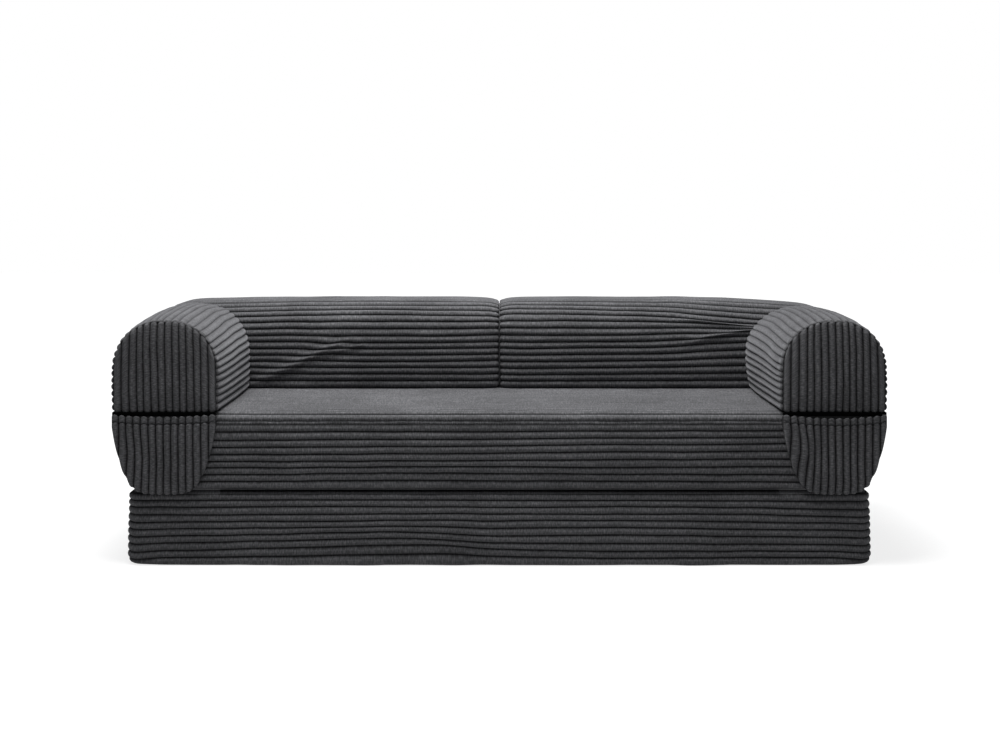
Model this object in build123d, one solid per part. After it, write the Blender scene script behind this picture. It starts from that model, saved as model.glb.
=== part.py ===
"""A fold-out floor sofa bed, upholstered in wide-wale corduroy, in millimetres.

Two foam mattresses of one size lie one on the other, joined along their front edge by a cloth
hinge. The upper one is the seat. Two back cushions stand along its rear edge, and a bolster
with a rounded top stands at each end as an arm. Hook and loop strips hold the four of them.
A flat cloth pocket hangs from the front of each arm.

X runs along the sofa, the front faces -Y, Z is up, and the floor is Z = 0. The cords of the
cloth are modelled as ridges. Every cover has a zipper on a side that faces away.
"""

import os

from build123d import *

# The mattresses: a queen bed of 60 by 80 inches, folded in half
MATTRESS_LENGTH = 2032.0
MATTRESS_DEPTH = 762.0
BASE_HEIGHT = 203.0
SEAT_HEIGHT = 215.0
SEAT_SEAM_DROP = 30.0
PLAN_CORNER_RADIUS = 40.0

# The cloth: the spacing and height of its ridges, and what lies under them
RIDGE_PITCH = 20.0
RIDGE_HEIGHT = 7.0
CLOTH_BACKING = 3.0
LINER_THICKNESS = 1.0
FLAT_CLOTH = 3.0

# The arms
ARM_WIDTH = 306.0
ARM_HEIGHT = 262.0
# The level stretch of its top, between the rounded shoulders
ARM_TOP_FLAT = 34.0
ARM_OVERHANG = 48.0
ARM_FRONT_OVERHANG = 4.0
ARM_DRAW_IN = 8.0

# The back cushions
BACK_THICKNESS = 300.0
BACK_HEIGHT = 264.0
BACK_TOP_RADIUS = 90.0
BACK_DRAW_IN = 9.0
# How much lower the outer shoulder of each is than its middle
BACK_DROOPS = {"left": 7.0, "right": 24.0}

# Under the arms and back cushions
PAD_BOTTOM = 4.0
STRIP_WIDTH = 50.0
STRIP_THICKNESS = 2.0
ARM_STRIP_LENGTH = 380.0
# From the end of the mattress to the middle of the strip under an arm
ARM_STRIP_INSET = 136.0
# Of the length of a back cushion: each of its two strips, and the distance between them
BACK_STRIP_SHARE = 0.345
BACK_STRIP_SPACING_SHARE = 0.49

# The pockets
POCKET_WIDTH = 284.0
POCKET_HEIGHT = 215.0
# The level stretch of its foot, between the rounded corners
POCKET_FOOT_FLAT = 44.0
POCKET_MOUTH_DROP = 8.0
POCKET_STANDOFF = 3.0
POCKET_LAYER = 3.0
POCKET_ROOM = 8.0
POCKET_SEAM_WIDTH = 8.0

# The cloth hinge between the mattresses
HINGE_STRIP_WIDTH = 60.0
HINGE_STRIP_THICKNESS = 1.0
HINGE_STRIP_END = 60.0

# The zippers
TAPE_WIDTH = 24.0
TAPE_THICKNESS = 1.5
TAPE_END = 60.0
SLIDER_LENGTH = 12.0
SLIDER_WIDTH = 11.0
SLIDER_THICKNESS = 2.2
LUG_LENGTH = 4.4
LUG_THICKNESS = 1.2
LUG_HEIGHT = 3.8
PIN_RADIUS = 0.7
PIN_HEIGHT = 2.1
EYE_RADIUS = 1.6
EYE_BORE_RADIUS = 0.95
EYE_WIDTH = 3.4
PULL_LENGTH = 26.0
PULL_WIDTH = 9.0
PULL_THICKNESS = 1.4
PULL_NECK = 7.5
BACK_ZIPPER_RISE = 36.0
ARM_ZIPPER_INSET = 23.0

# Clearances: between pieces that move apart, within one cover, and how far a cutter overruns
GAP = 0.3
FIT = 0.2
RUNNING_GAP = 0.25
OVERRUN = 1.0

# Places that follow from the sizes
CLOTH = RIDGE_HEIGHT + CLOTH_BACKING
HALF_LENGTH = MATTRESS_LENGTH / 2
HALF_DEPTH = MATTRESS_DEPTH / 2
ZIPPER_REACH = TAPE_THICKNESS + GAP + SLIDER_THICKNESS + LUG_HEIGHT
POCKET_REACH = POCKET_STANDOFF + POCKET_LAYER + POCKET_ROOM + CLOTH
# The whole, from the pockets to the zippers, is centred on Y = 0
MIDDLE_Y = (POCKET_REACH - ZIPPER_REACH) / 2
FRONT_Y = MIDDLE_Y - HALF_DEPTH
REAR_Y = MIDDLE_Y + HALF_DEPTH
BASE_TOP = BASE_HEIGHT - GAP / 2
SEAT_BOTTOM = BASE_HEIGHT + GAP / 2
SEAT_TOP = BASE_HEIGHT + SEAT_HEIGHT
SEAT_SEAM = SEAT_TOP - SEAT_SEAM_DROP
PAD_Z = SEAT_TOP + GAP
ARM_X = HALF_LENGTH + ARM_OVERHANG - ARM_WIDTH / 2
ARM_TOP_RADIUS = (ARM_WIDTH - ARM_TOP_FLAT) / 2
ARM_FRONT_Y = FRONT_Y - ARM_FRONT_OVERHANG
ARM_LENGTH = REAR_Y - BACK_THICKNESS - GAP - ARM_FRONT_Y
BACK_LENGTH = HALF_LENGTH - GAP
BACK_Y = REAR_Y - BACK_THICKNESS / 2
POCKET_RADIUS = (POCKET_WIDTH - POCKET_FOOT_FLAT) / 2
POCKET_TOP = PAD_Z - GAP
POCKET_MOUTH = POCKET_TOP - POCKET_MOUTH_DROP
POCKET_BOTTOM = POCKET_MOUTH - POCKET_HEIGHT
SIDES = {"left": -1, "right": 1}


def path(points, radius=0.0):
    """An open run of lines through points in the XY plane, rounded at its inner corners."""
    if radius:
        return FilletPolyline(*points, radius=radius).wire()
    return Polyline(*points).wire()


def ridges(line, count, height):
    """Arcs that bulge by height to the left of a line, one for each of count ridges."""
    step = line.length / count
    arcs = []
    for i in range(count):
        start, middle, end = (
            line.position_at(step * (i + part), position_mode=PositionMode.LENGTH)
            for part in (0, 0.5, 1)
        )
        along = line.tangent_at(step * (i + 0.5), position_mode=PositionMode.LENGTH)
        crest = middle + Vector(-along.Y, along.X) * height
        arcs.append(Edge.make_three_point_arc(start, crest, end))
    return arcs


def ridge_count(length):
    """How many ridges of about the cloth's pitch fill a length."""
    return max(1, round(length / RIDGE_PITCH))


def closed_face(edges):
    """A flat face whose outline is a chain of edges, closed by a straight line if it is open."""
    first, last = edges[0] @ 0, edges[-1] @ 1
    if (first - last).length > 0:
        edges = [*edges, Edge.make_line(last, first)]
    return Face(Wire(edges))


def across(x, y, z):
    """The upright plane that faces -Y, with its own X along the sofa."""
    return Plane(origin=(x, y, z), x_dir=(1, 0, 0), z_dir=(0, -1, 0))


def side_plane(x):
    """The upright plane that faces +X, with its own X along Y."""
    return Plane(origin=(x, 0, 0), x_dir=(0, 1, 0), z_dir=(1, 0, 0))


def prism(plane, face, amount):
    """A face drawn on a plane, pushed out along that plane's normal."""
    return extrude(plane * face, amount=amount, dir=plane.z_dir)


def rounded_prism(half_x, half_y, low, high, radius, top_radius=0.0):
    """An upright block, centred on the mattress, with round corners and maybe a round top edge."""
    outline = RectangleRounded(2 * half_x, 2 * half_y, radius)
    block = Pos(0, MIDDLE_Y, low) * extrude(outline, amount=high - low)
    if top_radius:
        rim = block.faces().sort_by(Axis.Z)[-1].edges()
        block = fillet(rim, radius=top_radius)
    return block


def cloth_ring(low, high):
    """The border band of a mattress: ridges that run round all four sides, on a thin backing."""
    count = ridge_count(high - low)
    valley = path([(-RIDGE_HEIGHT, high), (-RIDGE_HEIGHT, low)])
    arcs = ridges(valley, count, RIDGE_HEIGHT)
    inner = path([(-RIDGE_HEIGHT, low), (-CLOTH, low), (-CLOTH, high), (-RIDGE_HEIGHT, high)])
    profile = Face(Wire([*arcs, *inner.edges()]))
    pieces = []
    for turn in range(4):
        half_along, half_out = (HALF_LENGTH, HALF_DEPTH)[:: 1 if turn % 2 == 0 else -1]
        run = half_along - PLAN_CORNER_RADIUS
        start = Plane(origin=(run, -half_out, 0), x_dir=(0, -1, 0), z_dir=(-1, 0, 0))
        end = Plane(origin=(-run, -half_out, 0), x_dir=(0, -1, 0), z_dir=(-1, 0, 0))
        centre = Axis((-run, PLAN_CORNER_RADIUS - half_out, 0), (0, 0, -1))
        straight = prism(start, profile, 2 * run)
        corner = revolve(end * profile, axis=centre, revolution_arc=90)
        pieces += [Rot(0, 0, -90 * turn) * piece for piece in (straight, corner)]
    ring = pieces[0].fuse(*pieces[1:])
    return Pos(0, MIDDLE_Y, 0) * ring


def ridged_slab(inner, outer):
    """A flat panel of a mattress: ridges along X on the face at outer, flat on the face at inner."""
    sign = 1 if outer > inner else -1
    valley = outer - sign * RIDGE_HEIGHT
    front, rear = (FRONT_Y, REAR_Y)[::sign]
    arcs = ridges(path([(front, valley), (rear, valley)]), ridge_count(MATTRESS_DEPTH), RIDGE_HEIGHT)
    back = path([(rear, valley), (rear, inner), (front, inner), (front, valley)])
    profile = Face(Wire([*arcs, *back.edges()]))
    slab = prism(side_plane(-HALF_LENGTH - OVERRUN), profile, MATTRESS_LENGTH + 2 * OVERRUN)
    low, high = sorted((inner, outer))
    trim = rounded_prism(
        HALF_LENGTH, HALF_DEPTH + OVERRUN, low - OVERRUN, high + OVERRUN, PLAN_CORNER_RADIUS
    )
    return slab & trim


def filling_block(low, high, inset, top_radius):
    """The room inside a mattress cover, or a layer of what fills it."""
    return rounded_prism(
        HALF_LENGTH - CLOTH - inset,
        HALF_DEPTH - CLOTH - inset,
        low + inset,
        high - inset,
        PLAN_CORNER_RADIUS - CLOTH - inset,
        top_radius - inset if top_radius else 0,
    )


def filling(low, high, top_radius=0.0):
    """The foam block of a mattress and the thin liner sewn round it."""
    foam = filling_block(low, high, LINER_THICKNESS, top_radius)
    return foam, filling_block(low, high, 0, top_radius) - foam


def seat_top_panel():
    """The upper panel of the seat: ridges along X that roll over at the front and the rear."""
    drop = SEAT_SEAM_DROP - RIDGE_HEIGHT
    front, rear = FRONT_Y + RIDGE_HEIGHT, REAR_Y - RIDGE_HEIGHT
    top = SEAT_TOP - RIDGE_HEIGHT
    foot = SEAT_SEAM - OVERRUN
    line = path([(front, foot), (front, top), (rear, top), (rear, foot)], drop)
    arcs = ridges(line, ridge_count(line.length), RIDGE_HEIGHT)
    profile = closed_face(arcs)
    block = prism(side_plane(-HALF_LENGTH - OVERRUN), profile, MATTRESS_LENGTH + 2 * OVERRUN)
    trim = rounded_prism(
        HALF_LENGTH,
        HALF_DEPTH + OVERRUN,
        SEAT_SEAM,
        SEAT_TOP + OVERRUN,
        PLAN_CORNER_RADIUS,
        SEAT_SEAM_DROP,
    )
    room = filling_block(SEAT_BOTTOM + CLOTH, SEAT_TOP - CLOTH, 0, SEAT_SEAM_DROP - CLOTH)
    return block & trim, room


def bolster_path(width, height, radius, inset, foot=0.0):
    """The outline of a bolster's section, from one foot over the top to the other, set in."""
    half = width / 2 - inset
    top = height - inset
    return path([(-half, foot), (-half, top), (half, top), (half, foot)], radius - inset)


def ridged_panel(outline, half_width, height, outward):
    """An end panel with upright ridges, trimmed to an outline, its flat face on Y = 0."""
    valley = outward * CLOTH_BACKING
    ends = (-half_width, half_width)[::outward]
    arcs = ridges(path([(x, valley) for x in ends]), ridge_count(2 * half_width), RIDGE_HEIGHT)
    back = path([(ends[1], valley), (ends[1], 0), (ends[0], 0), (ends[0], valley)])
    profile = Face(Wire([*arcs, *back.edges()]))
    slab = prism(Plane.XY.offset(-OVERRUN), profile, height + 2 * OVERRUN)
    trim = prism(across(0, CLOTH + OVERRUN, 0), outline, 2 * (CLOTH + OVERRUN))
    return slab & trim


def bolster(width, height, radius, length, draw_in, droops=(0.0, 0.0)):
    """A cushion with a round top, lying along Y from 0 to its length, on Z = 0.

    Its section is full in the middle and drawn in at the seam of each end panel, where its
    top may also be lower by the droops, one for each end.
    """
    near, far = CLOTH, length - CLOTH
    stations = [
        (near, draw_in, height - droops[0]),
        (length / 2, 0, height),
        (far, draw_in, height - droops[1]),
    ]
    count = ridge_count(bolster_path(width, height, radius, RIDGE_HEIGHT).length)
    covers, cores = [], []
    for y, inset, top in stations:
        valley = bolster_path(width, top, radius, inset + RIDGE_HEIGHT)
        inner = bolster_path(width, top, radius, inset + CLOTH)
        arcs = ridges(valley, count, RIDGE_HEIGHT)
        feet = [
            Edge.make_line(valley @ 1, inner @ 1),
            Edge.make_line(inner @ 0, valley @ 0),
        ]
        covers.append(across(0, y, 0) * Face(Wire([*arcs, feet[0], *inner.edges(), feet[1]])))
        core = bolster_path(width, top, radius, inset + CLOTH + FIT, PAD_BOTTOM)
        cores.append(across(0, y, 0) * closed_face(core.edges()))
    half_floor = width / 2 - draw_in - CLOTH - FIT
    floor = Pos(0, length / 2, PAD_BOTTOM / 2) * Box(2 * half_floor, length - 2 * CLOTH, PAD_BOTTOM)
    panels = []
    for y, droop, outward in ((near, droops[0], -1), (far, droops[1], 1)):
        edge = bolster_path(width, height - droop, radius, draw_in + RIDGE_HEIGHT)
        panel = ridged_panel(closed_face(edge.edges()), width / 2, height, outward)
        panels.append(Pos(0, y, 0) * panel)
    return {
        "foam_core": loft(cores),
        "wrap_cover": loft(covers),
        "bottom_panel": floor,
        "near_panel": panels[0],
        "far_panel": panels[1],
    }


def strip(x, y, top, size_x, size_y, thickness):
    """A flat sewn strip, with its upper face at top."""
    return Pos(x, y, top - thickness / 2) * Box(size_x, size_y, thickness)


def pocket(side):
    """A flat pocket that hangs from the front of an arm: back, front and the seam round them."""
    half, bottom = POCKET_WIDTH / 2, POCKET_BOTTOM

    def outline(inset, top):
        edge = half - inset
        low = bottom + inset
        line = path([(-edge, top), (-edge, low), (edge, low), (edge, top)], POCKET_RADIUS - inset)
        return closed_face(line.edges())

    x = side * ARM_X
    back_y = FRONT_Y - POCKET_STANDOFF
    seam_y = back_y - POCKET_LAYER
    front_y = seam_y - POCKET_ROOM
    back = prism(across(x, back_y, 0), outline(0, POCKET_TOP), POCKET_LAYER)
    ring = outline(0, POCKET_MOUTH) - outline(POCKET_SEAM_WIDTH, POCKET_MOUTH + OVERRUN)
    seam = prism(across(x, seam_y, 0), ring, POCKET_ROOM)
    cloth = Pos(x, 0, 0) * ridged_panel(outline(0, POCKET_MOUTH), half + OVERRUN, POCKET_TOP, -1)
    return {"back": back, "side_seam": seam, "front": Pos(0, front_y, 0) * cloth}


def zipper(length, pull_turn=0.0):
    """A zipper along X on Z = 0, its slider at the low end.

    The pull lies back over the tape, or is turned up from it by pull_turn degrees.
    """
    tape = Pos(0, 0, TAPE_THICKNESS / 2) * Box(length, TAPE_WIDTH, TAPE_THICKNESS)
    x = SLIDER_LENGTH / 2 + PULL_LENGTH - length / 2
    floor = TAPE_THICKNESS + GAP
    deck = floor + SLIDER_THICKNESS
    body = Pos(x, 0, (floor + deck) / 2) * Box(SLIDER_LENGTH, SLIDER_WIDTH, SLIDER_THICKNESS)
    lug_y = EYE_WIDTH / 2 + RUNNING_GAP + LUG_THICKNESS / 2
    lug = Box(LUG_LENGTH, LUG_THICKNESS, LUG_HEIGHT)
    lugs = [Pos(x, y, deck + LUG_HEIGHT / 2) * lug for y in (-lug_y, lug_y)]
    pin_z = deck + PIN_HEIGHT
    across_x = Rot(90, 0, 0)
    pin = Pos(x, 0, pin_z) * across_x * Cylinder(PIN_RADIUS, 2 * lug_y)
    slider = body.fuse(*lugs, pin)
    eye = across_x * Cylinder(EYE_RADIUS, EYE_WIDTH)
    neck = Pos(-PULL_NECK / 2, 0, 0) * Box(PULL_NECK, EYE_WIDTH, PULL_THICKNESS)
    blade_length = PULL_LENGTH - PULL_NECK
    blade = Pos(-PULL_NECK - blade_length / 2, 0, 0) * Box(blade_length, PULL_WIDTH, PULL_THICKNESS)
    bore = across_x * Cylinder(EYE_BORE_RADIUS, EYE_WIDTH + OVERRUN)
    pull = Pos(x, 0, pin_z) * Rot(0, pull_turn, 0) * (eye.fuse(neck, blade) - bore)
    return {"zipper_tape": tape, "zipper_slider": slider, "zipper_pull": pull}


def rear_zipper(x, z, length):
    """A zipper that runs along X on the rear side."""
    place = Plane(origin=(x, REAR_Y, z), x_dir=(1, 0, 0), z_dir=(0, 1, 0))
    return {name: place.location * piece for name, piece in zipper(length).items()}


def arm_zipper(side):
    """A zipper under the part of an arm that overhangs the mattress, along Y, its pull hanging."""
    x = side * (ARM_X + ARM_WIDTH / 2 - ARM_ZIPPER_INSET)
    y = ARM_FRONT_Y + ARM_LENGTH / 2
    place = Plane(origin=(x, y, PAD_Z), x_dir=(0, 1, 0), z_dir=(0, 0, -1))
    length = ARM_LENGTH - 2 * TAPE_END
    return {name: place.location * piece for name, piece in zipper(length, 90).items()}


def strips_under_arm(side, top):
    """The strip, hook or loop, that holds an arm."""
    x = side * (HALF_LENGTH - ARM_STRIP_INSET)
    y = ARM_FRONT_Y + ARM_LENGTH / 2
    return [strip(x, y, top, STRIP_WIDTH, ARM_STRIP_LENGTH, STRIP_THICKNESS)]


def strips_under_back(side, top):
    """The pair of strips, hook or loop, that holds a back cushion."""
    middle = side * (GAP + BACK_LENGTH) / 2
    length = BACK_STRIP_SHARE * BACK_LENGTH
    apart = BACK_STRIP_SPACING_SHARE * BACK_LENGTH
    places = (middle - apart / 2, middle + apart / 2)
    return [strip(x, BACK_Y, top, length, STRIP_WIDTH, STRIP_THICKNESS) for x in places]


def build_base():
    """The lower mattress."""
    high = BASE_TOP - CLOTH
    foam, liner = filling(FLAT_CLOTH, high)
    hinge = strip(
        0,
        FRONT_Y + CLOTH + HINGE_STRIP_WIDTH / 2,
        BASE_TOP,
        MATTRESS_LENGTH - 2 * HINGE_STRIP_END,
        HINGE_STRIP_WIDTH,
        HINGE_STRIP_THICKNESS,
    )
    bottom = rounded_prism(
        HALF_LENGTH - RIDGE_HEIGHT,
        HALF_DEPTH - RIDGE_HEIGHT,
        0,
        FLAT_CLOTH,
        PLAN_CORNER_RADIUS - RIDGE_HEIGHT,
    )
    zip_length = MATTRESS_LENGTH - 2 * TAPE_END
    return {
        "foam_core": foam,
        "liner": liner,
        "bottom_panel": bottom,
        "border_band": cloth_ring(FLAT_CLOTH, high),
        "top_panel": ridged_slab(high, BASE_TOP) - hinge,
        "hinge_strip": hinge,
        **rear_zipper(0, BASE_HEIGHT / 2, zip_length),
    }


def build_seat():
    """The upper mattress, with the loop strips and its half of the hinge."""
    low = SEAT_BOTTOM + CLOTH
    foam, liner = filling(low, SEAT_TOP - CLOTH, SEAT_SEAM_DROP - CLOTH)
    hinge = strip(
        0,
        FRONT_Y + CLOTH + HINGE_STRIP_WIDTH / 2,
        SEAT_BOTTOM + HINGE_STRIP_THICKNESS,
        MATTRESS_LENGTH - 2 * HINGE_STRIP_END,
        HINGE_STRIP_WIDTH,
        HINGE_STRIP_THICKNESS,
    )
    arm_loops = [s for side in SIDES.values() for s in strips_under_arm(side, SEAT_TOP)]
    back_loops = [s for side in SIDES.values() for s in strips_under_back(side, SEAT_TOP)]
    top, room = seat_top_panel()
    zip_length = MATTRESS_LENGTH - 2 * TAPE_END
    return {
        "foam_core": foam,
        "liner": liner,
        "bottom_panel": ridged_slab(low, SEAT_BOTTOM) - hinge,
        "border_band": cloth_ring(low, SEAT_SEAM),
        "top_panel": top.cut(room, *arm_loops, *back_loops),
        "hinge_strip": hinge,
        "arm_loop_strips": Compound(children=arm_loops),
        "back_loop_strips": Compound(children=back_loops),
        **rear_zipper(0, (SEAT_BOTTOM + SEAT_SEAM) / 2, zip_length),
    }


def build_arm(side):
    """One arm, with the hook strip under it."""
    pieces = bolster(ARM_WIDTH, ARM_HEIGHT, ARM_TOP_RADIUS, ARM_LENGTH, ARM_DRAW_IN)
    place = Pos(side * ARM_X, ARM_FRONT_Y, PAD_Z)
    arm = {name: place * piece for name, piece in pieces.items()}
    arm["front_panel"], arm["rear_panel"] = arm.pop("near_panel"), arm.pop("far_panel")
    hooks = strips_under_arm(side, PAD_Z + STRIP_THICKNESS)
    arm["bottom_panel"] = arm["bottom_panel"].cut(*hooks)
    arm["hook_strip"] = hooks[0]
    return {**arm, **arm_zipper(side)}


def build_back(name):
    """One back cushion, with the hook strips under it. Its outer end hangs lower."""
    side, droop = SIDES[name], BACK_DROOPS[name]
    droops = (0.0, droop) if side > 0 else (droop, 0.0)
    pieces = bolster(
        BACK_THICKNESS, BACK_HEIGHT, BACK_TOP_RADIUS, BACK_LENGTH, BACK_DRAW_IN, droops
    )
    start = GAP if side > 0 else -HALF_LENGTH
    place = Pos(start, BACK_Y, PAD_Z) * Rot(0, 0, -90)
    back = {name: place * piece for name, piece in pieces.items()}
    back["end_panels"] = Compound(children=[back.pop("near_panel"), back.pop("far_panel")])
    hooks = strips_under_back(side, PAD_Z + STRIP_THICKNESS)
    back["bottom_panel"] = back["bottom_panel"].cut(*hooks)
    back["hook_strips"] = Compound(children=hooks)
    zip_length = BACK_LENGTH - 2 * TAPE_END
    middle = side * (GAP + BACK_LENGTH) / 2
    return {**back, **rear_zipper(middle, PAD_Z + BACK_ZIPPER_RISE, zip_length)}


def build_all():
    """Every sub-part by its full name."""
    groups = {"base": build_base(), "seat": build_seat()}
    for name, side in SIDES.items():
        groups[f"{name}_arm"] = build_arm(side)
        groups[f"{name}_back"] = build_back(name)
        groups[f"{name}_pocket"] = pocket(side)
    return {
        f"{group}_{piece}": shape
        for group, pieces in groups.items()
        for piece, shape in pieces.items()
    }


if __name__ == "__main__":
    os.makedirs("parts", exist_ok=True)
    for node, shape in build_all().items():
        export_step(shape, f"parts/{node}.step")
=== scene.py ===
# %% [markdown]
# # A fold-out floor sofa in wide corduroy
#
# The real thing is made of foam blocks in loose-fitting covers of very wide corduroy: two
# mattresses, two back cushions, two round-topped arms, and a pocket under the front of each arm.
# A soft cover is easiest to model as a smooth surface first, to which the cords are added along
# its normals. So every piece here starts as a grid of points worked out by a formula.

import bmesh
import bpy
import numpy as np
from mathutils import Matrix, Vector


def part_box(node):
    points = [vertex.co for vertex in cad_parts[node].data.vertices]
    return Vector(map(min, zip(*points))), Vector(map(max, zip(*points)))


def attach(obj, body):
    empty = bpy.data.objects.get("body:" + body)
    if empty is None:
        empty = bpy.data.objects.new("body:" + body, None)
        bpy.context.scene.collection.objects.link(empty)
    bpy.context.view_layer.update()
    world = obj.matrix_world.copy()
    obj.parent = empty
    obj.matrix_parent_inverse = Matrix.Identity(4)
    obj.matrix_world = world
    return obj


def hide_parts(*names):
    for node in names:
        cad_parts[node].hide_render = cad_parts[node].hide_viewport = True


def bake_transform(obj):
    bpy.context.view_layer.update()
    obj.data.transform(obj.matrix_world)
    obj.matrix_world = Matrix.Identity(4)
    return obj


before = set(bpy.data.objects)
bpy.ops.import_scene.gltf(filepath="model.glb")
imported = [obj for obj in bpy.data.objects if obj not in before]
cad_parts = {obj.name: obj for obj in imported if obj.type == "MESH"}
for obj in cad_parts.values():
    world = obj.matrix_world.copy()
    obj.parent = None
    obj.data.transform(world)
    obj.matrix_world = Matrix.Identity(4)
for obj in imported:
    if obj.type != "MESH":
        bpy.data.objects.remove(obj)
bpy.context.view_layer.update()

scene = bpy.context.scene
MM = 0.001


def placed(name, data):
    """A new object with some data, in the scene."""
    made = bpy.data.objects.new(name, data)
    scene.collection.objects.link(made)
    return made


# %% [markdown]
# ## The camera
#
# The photograph has upright lines that stay upright and a horizon far above its middle. That is
# a level camera whose picture is shifted down, as a product photographer does with a tall lens.
# Its place and lens were worked out from the corners of the mattress, arms and back cushions.

# %% The camera and its view
CAMERA_PLACE = (0.0018, -4.023, 0.9955)
CAMERA_LENS = 48.3
CAMERA_SHIFT = -0.1749

camera_data = bpy.data.cameras.new("camera")
camera_data.lens = CAMERA_LENS
camera_data.sensor_width = 36.0
camera_data.shift_y = CAMERA_SHIFT
camera = placed("camera", camera_data)
camera.location = CAMERA_PLACE
camera.rotation_euler = (np.pi / 2, 0, 0)
scene.camera = camera

# %% [markdown]
# ## Sizes
#
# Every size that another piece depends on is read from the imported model: the mattress from its
# border band, the seat's height from its top panel, and so on. Only the looks of the cloth, such
# as how far a seam is drawn in, are set here.

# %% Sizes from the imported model


def box_of(*nodes):
    """The lowest and highest corner of some nodes, as two arrays."""
    corners = np.array([[np.array(c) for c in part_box(node)] for node in nodes])
    return corners[:, 0].min(axis=0), corners[:, 1].max(axis=0)


CORD_PITCH = 20 * MM
CORD_HEIGHT = 7 * MM
PLAN_CORNER = 40 * MM

seat_low, seat_high = box_of("seat_border_band")
HALF_X = seat_high[0]
FRONT, REAR = seat_low[1], seat_high[1]
MIDDLE_Y, HALF_Y = (FRONT + REAR) / 2, (REAR - FRONT) / 2
FOLD_Z = (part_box("base_top_panel")[1][2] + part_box("seat_bottom_panel")[0][2]) / 2
SEAM_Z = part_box("seat_top_panel")[0][2]
SEAT_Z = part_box("seat_top_panel")[1][2]
SIDES = {"left": -1, "right": 1}
print("mattress half length %.3f, seat height %.3f" % (HALF_X, SEAT_Z))

# %% [markdown]
# ## Tools for grids of points
#
# A cover is a grid: its rows run across the cords and its columns run along them. Rows are
# closer together near the valleys between cords, because that is where the surface turns most.
# Normals come from the differences between neighbouring points, and a slow, seeded noise keeps
# any line from being perfectly straight.

# %% Helpers that work on whole arrays

ROWS_PER_CORD = 8


def cord_rows(count):
    """Positions across count cords: each cord's angle runs evenly from -90 to 90 degrees.

    The sine of an even angle puts the samples close together at the valleys.
    """
    angles = np.linspace(-np.pi / 2, np.pi / 2, ROWS_PER_CORD + 1)[:-1]
    within = 0.5 + 0.5 * np.sin(angles)
    rows = (np.arange(count)[:, None] + within[None, :]).ravel()
    return np.append(rows, count)


def cord_shape(rows, rolled=(False, False)):
    """Height of the pile over the valley, from 0 to 1, as a plump arch.

    With x from -1 to 1 across a cord, it is (1 - |x|^2) to the power 0.7. The first or the last
    cord may be a rolled one, which stays full up to the edge of the cloth.
    """
    x = 2 * (rows - np.floor(rows)) - 1
    x[-1] = 1
    shape = np.clip(1 - np.abs(x) ** 2, 0, None) ** 0.7
    shape = np.where(rolled[0] & (rows < 0.5), 1, shape)
    return np.where(rolled[1] & (rows > rows[-1] - 0.5), 1, shape)


def cord_tip(rows):
    """How far the rounded tip of a cord reaches past its valleys, from 0 to 1: a parabola."""
    x = 2 * (rows - np.floor(rows)) - 1
    x[-1] = 1
    return 1 - x**2


def eased(count, ends):
    """Count positions from 0 to 1, closer together at both ends.

    They mix an even spacing with a share ends of the sine of an even angle.
    """
    s = np.linspace(-1, 1, count)
    return 0.5 + 0.5 * ((1 - ends) * s + ends * np.sin(np.pi / 2 * s))


def smooth(x, low=0.0, high=1.0):
    """0 below low, 1 above high, and 3t^2 - 2t^3 between."""
    t = np.clip((x - low) / (high - low), 0, 1)
    return t * t * (3 - 2 * t)


def round_end(gap, reach):
    """How full a cord is at a distance from the seam it ends at: a quarter circle, 0 to 1."""
    t = np.clip(gap / reach, 0, 1)
    return np.sqrt(1 - (1 - t) ** 2)


def drift(a, b, cell_a, cell_b, seed):
    """Slow noise from -1 to 1 over two coordinates: random values on a lattice, smoothed between."""
    a, b = np.broadcast_arrays(a / cell_a, b / cell_b)
    a, b = a - a.min(), b - b.min()
    lattice = np.random.default_rng(seed).uniform(-1, 1, (int(a.max()) + 2, int(b.max()) + 2))
    i, j = a.astype(int), b.astype(int)
    s, t = smooth(a - i), smooth(b - j)
    near = lattice[i, j] * (1 - s) + lattice[i + 1, j] * s
    far = lattice[i, j + 1] * (1 - s) + lattice[i + 1, j + 1] * s
    return near * (1 - t) + far * t


def stacked(x, y, z):
    """Points from three arrays that broadcast together."""
    return np.stack(np.broadcast_arrays(x, y, z), axis=-1)


def normals_of(points, centre):
    """Unit normals of a grid that point away from centre, and 1 or -1 for the grid's own sense."""
    normal = np.cross(np.gradient(points, axis=0), np.gradient(points, axis=1))
    length = np.linalg.norm(normal, axis=2, keepdims=True)
    normal = normal / np.maximum(length, 1e-12)
    sense = 1.0 if np.sum(normal * (points - centre)) > 0 else -1.0
    return normal * sense, sense


def walk(start, heading, steps, distance):
    """Points and outward directions at given distances along a path of straight lines and arcs.

    Each step is (length, turn). Over a step of length L that turns by T, the point moves by
    L/T times the change in the sine and the cosine of its heading, or straight if T is 0.
    Outward is to the left of the heading.
    """
    x, y = np.zeros_like(distance) + start[0], np.zeros_like(distance) + start[1]
    facing, done = np.zeros_like(distance) + heading, 0.0
    for length, turn in steps:
        t = np.clip(distance - done, 0, length)
        if turn:
            radius = length / turn
            angle = heading + t / radius
            x = x + radius * (np.sin(angle) - np.sin(heading))
            y = y - radius * (np.cos(angle) - np.cos(heading))
            facing = facing + t / radius
        else:
            x, y = x + t * np.cos(heading), y + t * np.sin(heading)
        heading, done = heading + turn, done + length
    return x, y, -np.sin(facing), np.cos(facing)


# %% [markdown]
# ## Filling a cover with foam
#
# A cushion's cloth is slack here and tight there, which no formula of one line gives. So a
# coarse copy of each cover is treated as cloth that is sewn fast at its seams, and blown up from
# inside for twenty frames. How far it moved, held within a few millimetres, is then added to the
# fine grid. Foam is behind the cloth, so it may move out much further than in.

# %% Cloth simulation of a coarse copy

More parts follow.
